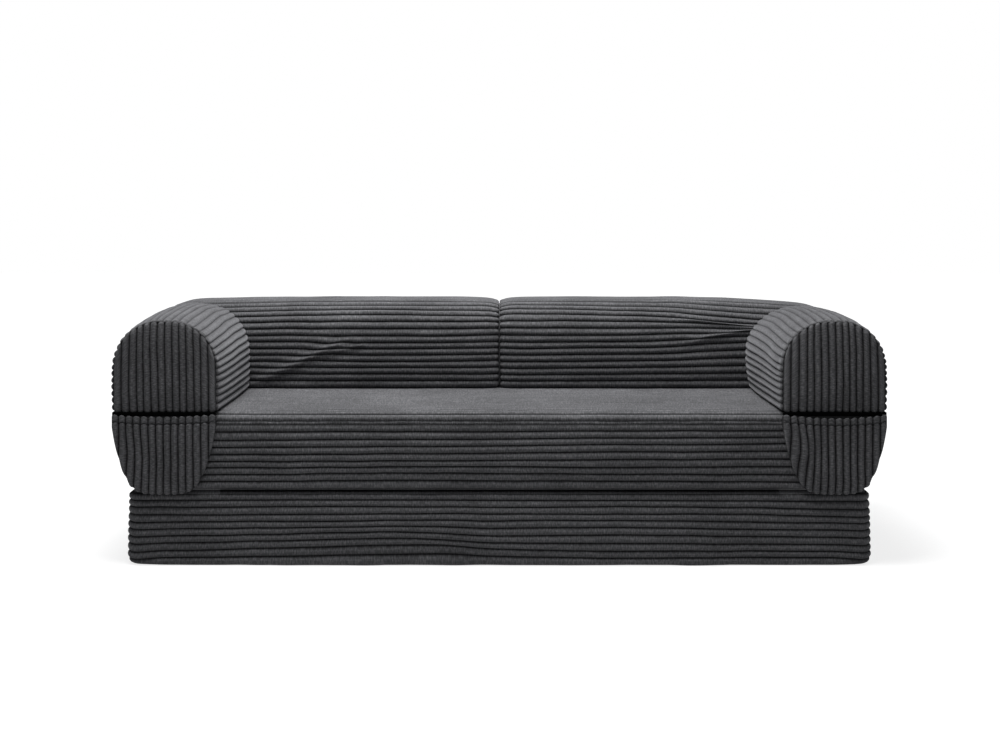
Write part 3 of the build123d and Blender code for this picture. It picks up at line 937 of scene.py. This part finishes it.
piece("seat_welt", [welt(welt_top - WELT - TUCK, welt_top + TUCK, 61)], "seat", cord_cloth)
UNDER_INSET = FLOOR_ROLL + 1 * MM
under = piece("base_underside", [underside(UNDER_INSET, 1.4 * MM, 71)], "base",
              base_cloth, ["base_bottom_panel"])


def hinge_cloth(lap, thin, half):
    """Cloth from the seat's strip to the base's, with a half circle at the front edge between."""
    x = np.linspace(-half, half, 60)[None, :]
    turn = np.linspace(np.pi / 2, -np.pi / 2, 33)[:, None]
    back = np.linspace(lap, 0, 4)[:-1, None]
    y = FRONT + np.concatenate([back, -thin * np.cos(turn), back[::-1]])
    z = FOLD_Z + thin * np.concatenate([0 * back + 1, np.sin(turn), 0 * back - 1])
    return sheet_grid(stacked(x, y, z), np.array([0, FRONT + lap, FOLD_Z]), x, y)


HINGE_THIN, HINGE_LAP, BESIDE_POCKET = 0.3 * MM, 16 * MM, 8 * MM
pocket_corners = [corner for name in SIDES for corner in box_of(f"{name}_pocket_front")]
hinge_half = min(abs(corner[0]) for corner in pocket_corners) - BESIDE_POCKET
# The hinge cloth is near black, as painted shadow in the gap between the mattresses.
hinge = piece("hinge_cloth", [hinge_cloth(HINGE_LAP, HINGE_THIN, hinge_half)], None,
              painted_shadow_cloth)
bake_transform(hinge)

# %% [markdown]
# ## Back cushions and arms
#
# All four are bolsters: a D-shaped section carried along a line. The section is drawn in towards
# the seam of each end panel, which is what foam does under a sewn cover. The cords of the wrap
# and of the end panel both end rounded at the seam, so the seam shows as a dark, scalloped line,
# which painted shade at the ends of the cords darkens further.

# %% The section, the wrap and the end panels of a bolster

FOOT = 14 * MM
SKIRT = 1.2 * MM
KNUCKLE, KNUCKLE_REACH = 5 * MM, 14 * MM
TIP_UP = 3 * MM
END_CROWN, CROWN_REACH, TURN_REACH = 2.5 * MM, 70 * MM, 10 * MM
END_FOOT = 0.8 * FOOT


class Bolster:
    """The sizes of one bolster, in its own frame: u across, s along, z up from its underside."""

    def __init__(self, half, height, radius, length, place, seed, droop, drawn, reach, seam,
                 taper=0.0, tip_down=0.0):
        self.half, self.height, self.radius, self.length = half, height, radius, length
        self.place, self.seed, self.droop = place, seed, droop
        self.drawn, self.reach, self.seam = drawn, reach, seam
        self.taper, self.tip_down = taper, tip_down
        self.centre = place(np.zeros(1), np.full(1, length / 2), np.full(1, height / 2))[0]
        foot, turn = FOOT - CORD_HEIGHT, -np.pi / 2
        wall, shoulder = height - FOOT - radius, radius - CORD_HEIGHT
        self.steps = [
            (foot * np.pi / 2, turn), (wall, 0), (shoulder * np.pi / 2, turn),
            (2 * (half - radius), 0),
            (shoulder * np.pi / 2, turn), (wall, 0), (foot * np.pi / 2, turn),
        ]
        self.around = sum(length for length, _ in self.steps)

    def section(self, share, inset):
        """Points at a share of the way round, foot to foot, set in along the normals.

        The feet are only set in sideways, so that the bolster still stands on them.
        """
        half = self.half - CORD_HEIGHT
        d = np.clip(share, 0, 1) * self.around
        u, z, out_u, out_z = walk((-(self.half - FOOT), CORD_HEIGHT), np.pi, self.steps, d)
        low = z < FOOT
        u_in = np.where(low, u * (half - inset) / half, u - out_u * inset)
        return u_in, np.where(low, z, z - out_z * inset)

    def narrowed(self, u, z, end):
        """Draws the upper part in further near a seam, sideways and down."""
        near = smooth(z, 0.25 * self.height, self.height) * np.exp(-end / self.reach)
        return u * (1 - self.taper / self.half * near), z - self.taper * near

    def draw(self, end):
        """How far the section is drawn in at a distance from the nearer seam."""
        return self.drawn * np.exp(-end / self.reach)

    def wrap_form(self, share, along):
        """The ground of the wrap: the section, drawn in towards both ends and lowered by droop."""
        run = self.length - 2 * self.seam
        s = along * run
        end = np.minimum(s, run - s)
        u, z = self.section(share, self.draw(end) + 0 * share)
        u, z = self.narrowed(u, z, end)
        lower = self.droop(s + self.seam) * smooth(z, 0.3 * self.height, self.height)
        return self.place(u, s + self.seam + 0 * u, z - lower), end + 0 * u

    def wrap(self, columns, push=None, mask=None, bend=None, relief=1.0):
        """The cover over the top, with its cords along s."""
        count = int(round(self.around / CORD_PITCH))

        def blow(across, along):
            moved = settled(self.wrap_form, self.centre, across, along, WRAP_CELLS, WRAP_CAP)
            return moved if push is None else moved + push(across[:, None], along[None, :])

        along, rows = eased(columns, 0.7), cord_rows(count)
        grid = corded(self.wrap_form, self.centre, count, along, self.length,
                      self.seed, (True, True), blow, mask, bend, relief)
        run = self.length - 2 * self.seam
        over = smooth(-along * run, -KNUCKLE_REACH, 0) - smooth(along * run - run, -KNUCKLE_REACH, 0)
        lengthwise = self.place(np.zeros(1), np.ones(1), np.zeros(1)) - self.place(*np.zeros((3, 1)))
        knuckle = KNUCKLE * cord_tip(rows)[:, None] * over[None, :]
        grid.points = grid.points - knuckle[:, :, None] * lengthwise[0]
        # Painted shade along both feet, where the bolster meets what it stands on.
        grid.cord = grid.cord * smooth(np.minimum(rows, count - rows), 0.0, PAINTED_SHADE_REACH)[:, None]
        inward = self.centre - grid.points
        inward = inward / np.linalg.norm(inward, axis=2, keepdims=True)
        inward = np.pad(inward, ((0, 0), (1, 1), (0, 0)), mode="edge")
        return skirted(grid, SKIRT * inward, (False, True))

    def end_form(self, far):
        """The ground of an end panel: columns that stand at one u and rise to the D's outline.

        Near the outline it turns back to the seam, and its middle is crowned.
        """
        edge = self.drawn + CORD_HEIGHT
        half, radius = self.half - edge, self.radius - edge
        bottom = 1 * MM
        lower = float(self.droop(np.array(self.length if far else 0.0)))
        top = self.height - edge - lower

        def form(share, along):
            u = (2 * share - 1) * half
            over = np.clip(np.abs(u) - (half - radius), 0, radius)
            limit = top - radius + np.sqrt(np.maximum(radius**2 - over**2, 0))
            under = np.clip(np.abs(u) - (half - END_FOOT), 0, END_FOOT)
            floor = bottom + END_FOOT - np.sqrt(END_FOOT**2 - under**2)
            z = floor + along * (limit - floor)
            corner = radius - np.hypot(over, np.clip(z - (top - radius), 0, None))
            beside = np.where((z > top - radius) & (over > 0), corner, half - np.abs(u))
            gap = np.clip(np.minimum(np.minimum(beside, limit - z), z - floor), 0, None)
            crown = END_CROWN * smooth(gap, 0, CROWN_REACH)
            turned = 1 - smooth(gap, 0, TURN_REACH)
            depth = CORD_HEIGHT - crown + (self.seam - CORD_HEIGHT) * turned
            s = self.length - depth if far else depth
            u, z = self.narrowed(u + 0 * z, z, 0.0)
            return self.place(u, s, z), gap

        return form

    def end_panel(self, far):
        """A D-shaped end panel with upright cords, which meets the wrap at the seam."""
        form = self.end_form(far)
        half = self.half - self.drawn - CORD_HEIGHT
        count = int(round(2 * half / CORD_PITCH))

        def blow(across, along):
            return settled(form, self.centre, across, along, END_CELLS, END_CAP)

        along = eased(64, 0.75)
        grid = corded(form, self.centre, count, along, self.height,
                      self.seed + (20 if far else 10), push=blow)
        tips = smooth(along, 0.94, 1.0) * TIP_UP - smooth(-along, -0.06, 0.0) * self.tip_down
        grid.points[:, :, 2] += cord_tip(cord_rows(count))[:, None] * tips[None, :]
        rim = self.place(np.zeros(1), np.full(1, self.length / 2), np.zeros(1))
        edge = self.place(np.zeros(1), np.full(1, self.length if far else 0.0), np.zeros(1))
        inward = (rim - edge)[0]
        return skirted(grid, SKIRT * inward / np.linalg.norm(inward))

    def underside(self):
        """The flat cloth under a bolster, from foot to foot."""
        half = self.half - FOOT - self.drawn / 2
        u = np.linspace(-half, half, 14)[:, None]
        s = np.linspace(self.seam, self.length - self.seam, 40)[None, :]
        z = 2.3 * MM + 0.2 * MM * drift(u + 0 * s, s + 0 * u, 0.05, 0.05, self.seed + 30)
        points = self.place(u + 0 * s, s + 0 * u, z)
        return skirted(sheet_grid(points, self.centre, s, u), np.array([0, 0, SKIRT]))


def padded_cover(body, part, grids, node):
    """A padded corduroy piece of a bolster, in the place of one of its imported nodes."""
    piece(f"{body}_{part}", grids, body, cord_cloth, [f"{body}_{node}"])


# %% [markdown]
# ### The back cushions
#
# Their cords run along the sofa. The outer shoulder of each hangs lower than the middle of the
# sofa, and the cloth is pulled into slanting folds: low beside the left arm, and high beside the
# right one, where the cords crowd together.

# %% Both back cushions

BACK_TOP_RADIUS = 90 * MM
WRAP_OVER_ENDS = 9 * MM


def slanting_fold(s_from, share_from, s_to, share_to, width, height, kink):
    """A raised fold along a slanting line: how far it lifts the cloth, and how it shifts the cords.

    Across the line the lift is a Gaussian less a wider, shallower one set to one side. The shift
    is the slope of a Gaussian, so that cords bend one way on one side and back on the other.
    """

    def across_and_fade(share, s):
        run = np.hypot(s_to - s_from, share_to - share_from)
        du, dv = (s_to - s_from) / run, (share_to - share_from) / run
        along = ((s - s_from) * du + (share - share_from) * dv) / run
        across = ((s - s_from) * dv - (share - share_from) * du) / width
        return across, smooth(along, -0.15, 0.2) * smooth(-along, -1.15, -0.8)

    def lift(share, s):
        across, fade = across_and_fade(share, s)
        return height * fade * (np.exp(-(across**2)) - 0.15 * np.exp(-(((across - 1.8) / 1.2) ** 2)))

    def shift(share, s):
        across, fade = across_and_fade(share, s)
        return kink * fade * across * np.exp(-(across**2) / 2)

    return lift, shift


def crowding(s_from, s_to, middle, width, strength):
    """Draws cords together towards one share of the way round, more and more towards one end."""

    def bend(share, s):
        near = smooth(s, min(s_from, s_to), max(s_from, s_to))
        near = near if s_to > s_from else 1 - near
        return (middle - share) * strength * near * np.exp(-(((share - middle) / width) ** 2))

    return bend


def along_x(start, middle, floor):
    """Turns a back cushion's own frame to the sofa's: s runs along X, and the front has u < 0."""

    def place(u, s, z):
        return stacked(start + s, middle + u, floor + z)

    return place


folds_of = {
    "left": [
        slanting_fold(0.250, 0.008, 0.540, 0.203, 0.020, 6 * MM, 0.011),
        slanting_fold(0.480, 0.135, 0.600, 0.190, 0.011, 3 * MM, 0.006),
    ],
    "right": [
        slanting_fold(0.58, 0.185, 0.80, 0.250, 0.018, 5 * MM, 0.006),
        slanting_fold(0.56, 0.305, 0.80, 0.275, 0.016, 4 * MM, 0.004),
    ],
}
crowd_of = {
    "left": crowding(0.45, 0.1, 0.08, 0.1, 0.3),
    "right": crowding(0.42, 0.82, 0.255, 0.13, 0.58),
}
BACK_DRAWN, BACK_REACH, BACK_SEAM = 10 * MM, 16 * MM, 6 * MM
droop_of = {"left": 7 * MM, "right": 24 * MM}
for name, side in SIDES.items():
    low, high = box_of(f"{name}_back_wrap_cover", f"{name}_back_end_panels")
    length = high[0] - low[0]
    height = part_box("left_back_end_panels")[1][2] - low[2] + WRAP_OVER_ENDS + CORD_HEIGHT

    def droop(s, side=side, length=length, depth=droop_of[name]):
        """Lowers the top towards the outer end, by the square of the way from the middle."""
        outward = (s if side > 0 else length - s) / length
        return depth * np.clip(2 * outward - 1, 0, None) ** 2

    def folds(share, along, name=name, length=length):
        return sum(lift(share, along * length) for lift, _ in folds_of[name])

    def bends(share, s, name=name):
        return crowd_of[name](share, s) + sum(shift(share, s) for _, shift in folds_of[name])

    place = along_x(low[0], (low[1] + high[1]) / 2, low[2])
    back = Bolster((high[1] - low[1]) / 2, height, BACK_TOP_RADIUS, length, place,
                   100 + 50 * side, droop, BACK_DRAWN, BACK_REACH, BACK_SEAM)
    tape = box_of(f"{name}_back_zipper_tape")
    body, ends = f"{name}_back", [back.end_panel(False), back.end_panel(True)]
    padded_cover(body, "cover", [back.wrap(150, folds, sewn_over(*tape), bends)], "wrap_cover")
    padded_cover(body, "ends", ends, "end_panels")
    piece(f"{body}_underside", [back.underside()], body, base_cloth, [f"{body}_bottom_panel"])

# %% [markdown]
# ### The arms
#
# The same bolster, turned: its cords run from front to back over the top, and its front panel
# is the D that faces the room, with upright cords. On both flanks the cords sink towards the
# front seam.

# %% Both arms

ARM_TOP_RADIUS = 136 * MM
ARM_RELIEF = 0.78
ARM_DRAWN, ARM_REACH, ARM_SEAM, ARM_TAPER, ARM_TIP = 6 * MM, 70 * MM, 8.5 * MM, 4.5 * MM, 4.5 * MM
bulge_of = {"left": 2 * MM, "right": 14 * MM}
sinking_of = {"left": 0.008, "right": 0.024}
crown_of = {"left": 9 * MM, "right": 1 * MM}


def along_y(middle, front, floor, half, height, side, bulge):
    """Turns an arm's own frame to the sofa's: u runs along X and s to the rear.

    Its inner side bulges towards the seat, most at half its height and near its rear end.
    """

    def place(u, s, z):
        inner = smooth(-side * u, 0, half) * np.sin(np.pi * np.clip(z / height, 0, 1))
        out = bulge * inner * smooth(s, 0.12, 0.4)
        return stacked(middle + u - side * out, front + s, floor + z)

    return place


for name, side in SIDES.items():
    low, high = box_of(f"{name}_arm_wrap_cover", f"{name}_arm_front_panel", f"{name}_arm_rear_panel")
    half, height = (high[0] - low[0]) / 2, high[2] - low[2]
    place = along_y((low[0] + high[0]) / 2, low[1], low[2], half, height, side, bulge_of[name])

    def crown(s, rise=crown_of[name]):
        """Raises the top behind the front seam, as a droop below zero."""
        return -rise * smooth(s, 20 * MM, 300 * MM)

    arm = Bolster(half, height, ARM_TOP_RADIUS, high[1] - low[1], place, 300 + 50 * side, crown,
                  ARM_DRAWN, ARM_REACH, ARM_SEAM, ARM_TAPER, ARM_TIP)

    def sink(share, s, depth=sinking_of[name]):
        """Cords on both flanks lie lower near the front seam."""
        return -depth * np.sin(2 * np.pi * share) * (1 - smooth(s, 0, 0.32))

    body = f"{name}_arm"
    padded_cover(body, "cover", [arm.wrap(100, bend=sink, relief=ARM_RELIEF)], "wrap_cover")
    padded_cover(body, "front", [arm.end_panel(False)], "front_panel")
    padded_cover(body, "rear", [arm.end_panel(True)], "rear_panel")
    piece(f"{body}_underside", [arm.underside()], body, base_cloth, [f"{body}_bottom_panel"])

# %% [markdown]
# ## The pockets
#
# A pocket is two layers of cloth sewn together round a U. The front layer has upright cords, a
# hem folded in at its mouth with a row of stitches, and it sags at the middle. Its sides narrow
# downwards and turn back to the plain layer behind.

# %% Both pockets

FOOT_RISE, FOOT_POWER = 185 * MM, 4.4
HEM = 17 * MM
MOUTH_RISE = 3.5 * MM
POCKET_RELIEF = 9 * MM
UNFOLD_ROOM = 7 * MM
PUFF, WAVE = 3 * MM, 2 * MM
FOOT_SCALLOP, MOUTH_SCALLOP = 6 * MM, 7.5 * MM
LIP = 1.8 * MM
FACE_STEPS, LIP_STEPS, HEM_STEPS = 72, 7, 4
sag_of = {"left": 6 * MM, "right": 10 * MM}
lean_of = {"left": 3 * MM, "right": 9 * MM}


def pocket_foot(u, half, bottom):
    """The U's outline: its height over the bottom is a power of the share of its width."""
    return bottom + FOOT_RISE * np.abs(u / half) ** FOOT_POWER


def pocket_front(name, low, high, back_y, seed):
    """The front layer: upright cords, turned back round the U and folded in at the mouth.

    A column stands at one x between the U and the mouth. Beyond the mouth, rows go on over a
    half circle into the pocket and down the hem's inside. The cord's ends scallop both edges.
    """
    centre, half = (low[0] + high[0]) / 2, (high[0] - low[0]) / 2
    count = int(round(2 * half / CORD_PITCH))
    rows = cord_rows(count)
    shape = cord_shape(rows)[:, None]
    t = (rows / count)[:, None] * 2 - 1
    u = t * half
    valley = 1 - cord_tip(rows)[:, None]
    foot = pocket_foot(u, half, low[2]) + FOOT_SCALLOP * valley * (1 - smooth(np.abs(t), 0.75, 0.98))
    mouth = high[2] + MOUTH_RISE - sag_of[name] * (1 - t**2) - MOUTH_SCALLOP * valley
    v = eased(FACE_STEPS, 0.5)[None, :]
    z = foot + (mouth - foot) * v
    slope = FOOT_POWER * FOOT_RISE * np.abs(t) ** (FOOT_POWER - 1) / half
    gap = np.minimum((z - foot) / np.sqrt(1 + slope**2), half - np.abs(u))
    below = mouth - z
    ground = low[1] + POCKET_RELIEF + UNFOLD_ROOM
    depth = back_y - ground
    turn = 1 - np.clip(gap / depth, 0, 1)
    puff = PUFF * smooth(gap, 0, 70 * MM)
    wave = WAVE * drift(t / 0.4, z, 1.0, 0.07, seed) * smooth(gap, 0, 40 * MM)
    across = (t + 0.30 + 0.55 * v) / 0.07
    fold = lean_of[name] / 2.4 * (np.exp(-(across**2)) - 0.6 * np.exp(-((across - 1.6) ** 2)))
    fold = fold * smooth(v, 0.25, 0.5) * smooth(gap, 0, 20 * MM)
    y = ground + depth * (1 - np.sqrt(1 - turn**2)) - puff - wave - fold
    stitch = np.exp(-(((below - HEM) / (1.7 * MM)) ** 2))
    taper = round_end(gap, CORD_END) * (1 - 0.5 * stitch)
    plump = 1 + PLUMPNESS * drift(rows[:, None] + 0 * z, z, 1.0, 0.06, seed + 1)
    y = y + 1.2 * MM * stitch - POCKET_RELIEF * shape * plump * taper
    lean = WAVE * drift(t / 0.5, z, 1.0, 0.09, seed + 2) * smooth(gap, 0, 40 * MM)
    drag = lean_of[name] * np.exp(-(((t + 0.6) / 0.3) ** 2)) * np.sin(np.pi * v) ** 2
    x = u + lean + drag * smooth(gap, 0, 30 * MM)
    over = np.linspace(0, np.pi, LIP_STEPS + 1)[None, 1:]
    lip_y = y[:, -1:] + LIP * (1 - np.cos(over))
    lip_z = z[:, -1:] + LIP * np.sin(over)
    inside_z = z[:, -1:] - HEM * np.linspace(0, 1, HEM_STEPS + 1)[None, 1:]
    inside_y = np.repeat(lip_y[:, -1:], HEM_STEPS, axis=1)
    more = LIP_STEPS + HEM_STEPS
    x = np.concatenate([x, np.repeat(x[:, -1:], more, axis=1)], axis=1)
    points = stacked(centre + x, np.concatenate([y, lip_y, inside_y], axis=1),
                     np.concatenate([z, lip_z, inside_z], axis=1))
    inner = np.array([centre, back_y, (low[2] + high[2]) / 2])
    _, sense = normals_of(points[:, :FACE_STEPS], inner)
    along = np.concatenate([z, lip_z, 2 * z[:, -1:] - inside_z], axis=1)
    # Painted shade: the cord value is low in the valleys, along the row of stitches and where the
    # cords end at the U.
    cord = np.concatenate([shape * (1 - 0.5 * stitch) * np.clip(taper + 0.2, 0, 1),
                           np.repeat(shape, more, axis=1)], axis=1)
    return Grid(points, cord, along, rows[:, None] * CORD_PITCH, sense)


def pocket_back(low, high, seed):
    """The plain layer: a U of cloth, both faces, whose columns rise to the seam above."""
    centre, half = (low[0] + high[0]) / 2, (high[0] - low[0]) / 2 - 1 * MM
    u = np.linspace(-1, 1, 60)[:, None] * half
    foot = pocket_foot(u, half, low[2] + 1 * MM)
    z = foot + (high[2] - foot) * np.linspace(0, 1, 40)[None, :]
    inside = smooth(np.minimum(z - foot, high[2] - z), 0, 20 * MM)
    ripple = 0.5 * MM * drift(u / 0.05 + 0 * z, z, 1.0, 0.05, seed) * inside
    sheets = []
    for y, side in ((low[1] + 1 * MM, 1), (high[1] - 1 * MM, -1)):
        behind = np.array([centre, y + side, (low[2] + high[2]) / 2])
        face = sheet_grid(stacked(centre + u, y + ripple, z), behind, z, u)
        sheets.append(skirted(face, np.array([0, side * 0.5 * MM, 0])))
    return sheets


def pocket_hanger(low, high, arm_low):
    """The cloth that joins a pocket to its arm: a strip from under the arm, over and down."""
    x = np.linspace(low[0] + 1 * MM, high[0] - 1 * MM, 40)[None, :]
    y = np.array([arm_low[1] + 22 * MM, arm_low[1] + 8 * MM, low[1] + 4 * MM, low[1] + 1 * MM,
                  low[1] - 0.3 * MM, low[1] - 0.5 * MM])[:, None]
    z = high[2] + MM * np.array([1.4, 1.2, 1.0, 0.8, -0.4, -9.0])[:, None]
    below = np.array([(low[0] + high[0]) / 2, y[0, 0], z[-1, 0] - 0.05])
    return sheet_grid(stacked(x, y, z), below, x, y)


for name, side in SIDES.items():
    front_low, front_high = box_of(f"{name}_pocket_front")
    back_low, back_high = box_of(f"{name}_pocket_back")
    body = f"{name}_pocket"
    piece(f"{body}_face", [pocket_front(name, front_low, front_high, back_low[1], 500 + side)],
          body, cord_cloth, [f"{body}_front", f"{body}_side_seam"])
    lining = piece(f"{body}_lining", pocket_back(back_low, back_high, 520 + side),
                   body, base_cloth, [f"{body}_back"])
    arm_low, _ = box_of(f"{name}_arm_front_panel")
    # The hanger is near black, as painted shadow in the gap under the arm.
    hanger = piece(f"{body}_hanger", [pocket_hanger(back_low, back_high, arm_low)],
                   None, painted_shadow_cloth)
    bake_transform(hanger)

# %% [markdown]
# ## What stays as it was built
#
# Foam, liners, strips and zippers are the right shape already, so they keep their solids and
# get their finish.

# %% Finishes of the pieces that stay

for node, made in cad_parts.items():
    if node.endswith("foam_core"):
        finish = foam
    elif node.endswith("liner"):
        finish = liner_cloth
    elif node.endswith(("loop_strips", "hook_strips", "hook_strip")):
        finish = strip_cloth
    elif node.endswith("zipper_tape"):
        finish = tape_cloth
    elif node.endswith(("zipper_slider", "zipper_pull")):
        finish = zipper_metal
    else:
        finish = base_cloth
    made.data.materials.clear()
    made.data.materials.append(finish)

# %% [markdown]
# ## Room and light
#
# The sofa stands on a white floor in front of nothing at all, as in a cut-out picture for a shop.
# A floor that looks white needn't send much light back: here its own colour is a middle grey,
# and the rest of its white is a glow that the camera and glossy reflections see, a little weaker
# near the sofa so that its shadow shows. The light comes from one large soft lamp overhead and a
# little in front, which lights the upper side of each cord and leaves its underside dark.

# %% The floor

FLOOR_REACH = 14.0
FLOOR_GREY = 0.42
GLOW_FAR, GLOW_NEAR = 1.0, 0.8
SHADOW_REACH = 3.2


def floor_material():
    """Grey to the light and white to the camera and to glossy rays, whose glow falls off towards the
    middle.

    A spherical gradient goes from 1 in the middle to 0 at the shadow's reach.
    """
    material, add, _, shade = new_material("floor_white")
    place = add("TexCoord").outputs["Object"]
    scaled = add("Mapping", {"Vector": place, "Scale": (1 / SHADOW_REACH,) * 3}).outputs["Vector"]
    near = add("TexGradient", {"Vector": scaled}, gradient_type="SPHERICAL").outputs["Fac"]
    span = {"From Max": 0.45, "To Min": GLOW_FAR, "To Max": GLOW_NEAR}
    level = add("MapRange", {"Value": near, **span})
    path = add("LightPath").outputs
    seen = add("Math", {0: path["Is Camera Ray"], 1: path["Is Glossy Ray"]}, operation="MAXIMUM")
    glow = add("Math", {0: seen.outputs[0], 1: level.outputs[0]}, operation="MULTIPLY")
    shade({"Base Color": grey(FLOOR_GREY), "Roughness": 0.9, "Specular IOR Level": 0.1,
           "Emission Color": grey(1.0), "Emission Strength": glow.outputs[0]})
    return material


floor_mesh = bpy.data.meshes.new("floor")
corners = FLOOR_REACH * np.array([(-1, -1, 0), (1, -1, 0), (1, 1, 0), (-1, 1, 0)])
floor_mesh.from_pydata(corners.tolist(), [], [(0, 1, 2, 3)])
floor_mesh.materials.append(floor_material())
placed("floor", floor_mesh)

# %% The world: white to the camera, dim to the cloth

AMBIENT = 0.18
SKY_TINT = (0.96, 0.98, 1.0, 1.0)

world = bpy.data.worlds.new("studio")
scene.world = world
world.use_nodes = True
tree = world.node_tree
ambient = tree.nodes["Background"]
ambient.inputs["Color"].default_value = SKY_TINT
ambient.inputs["Strength"].default_value = AMBIENT
white = tree.nodes.new("ShaderNodeBackground")
white.inputs["Color"].default_value = grey(1.0)
rays = tree.nodes.new("ShaderNodeLightPath")
seen = tree.nodes.new("ShaderNodeMath")
seen.operation = "MAXIMUM"
either = tree.nodes.new("ShaderNodeMixShader")
for start, end in (
    (rays.outputs["Is Camera Ray"], seen.inputs[0]),
    (rays.outputs["Is Transmission Ray"], seen.inputs[1]),
    (seen.outputs[0], either.inputs["Fac"]),
    (ambient.outputs[0], either.inputs[1]),
    (white.outputs[0], either.inputs[2]),
    (either.outputs[0], tree.nodes["World Output"].inputs["Surface"]),
):
    tree.links.new(start, end)

# %% The lamps


def soft_light(name, place, target, size, power):
    """A square lamp that faces a point."""
    data = bpy.data.lights.new(name, "AREA")
    data.shape, data.size, data.energy = "SQUARE", size, power
    lamp = placed(name, data)
    lamp.location = place
    lamp.rotation_euler = (Vector(target) - Vector(place)).to_track_quat("-Z", "Y").to_euler()


LIT_POINT = (0.0, 0.0, 0.3)
soft_light("overhead", (-0.3, -0.4, 3.1), LIT_POINT, 1.8, 134.0)
soft_light("front_fill", (0.0, -4.6, 1.6), LIT_POINT, 2.4, 1.5)

scene.view_settings.view_transform = "Standard"
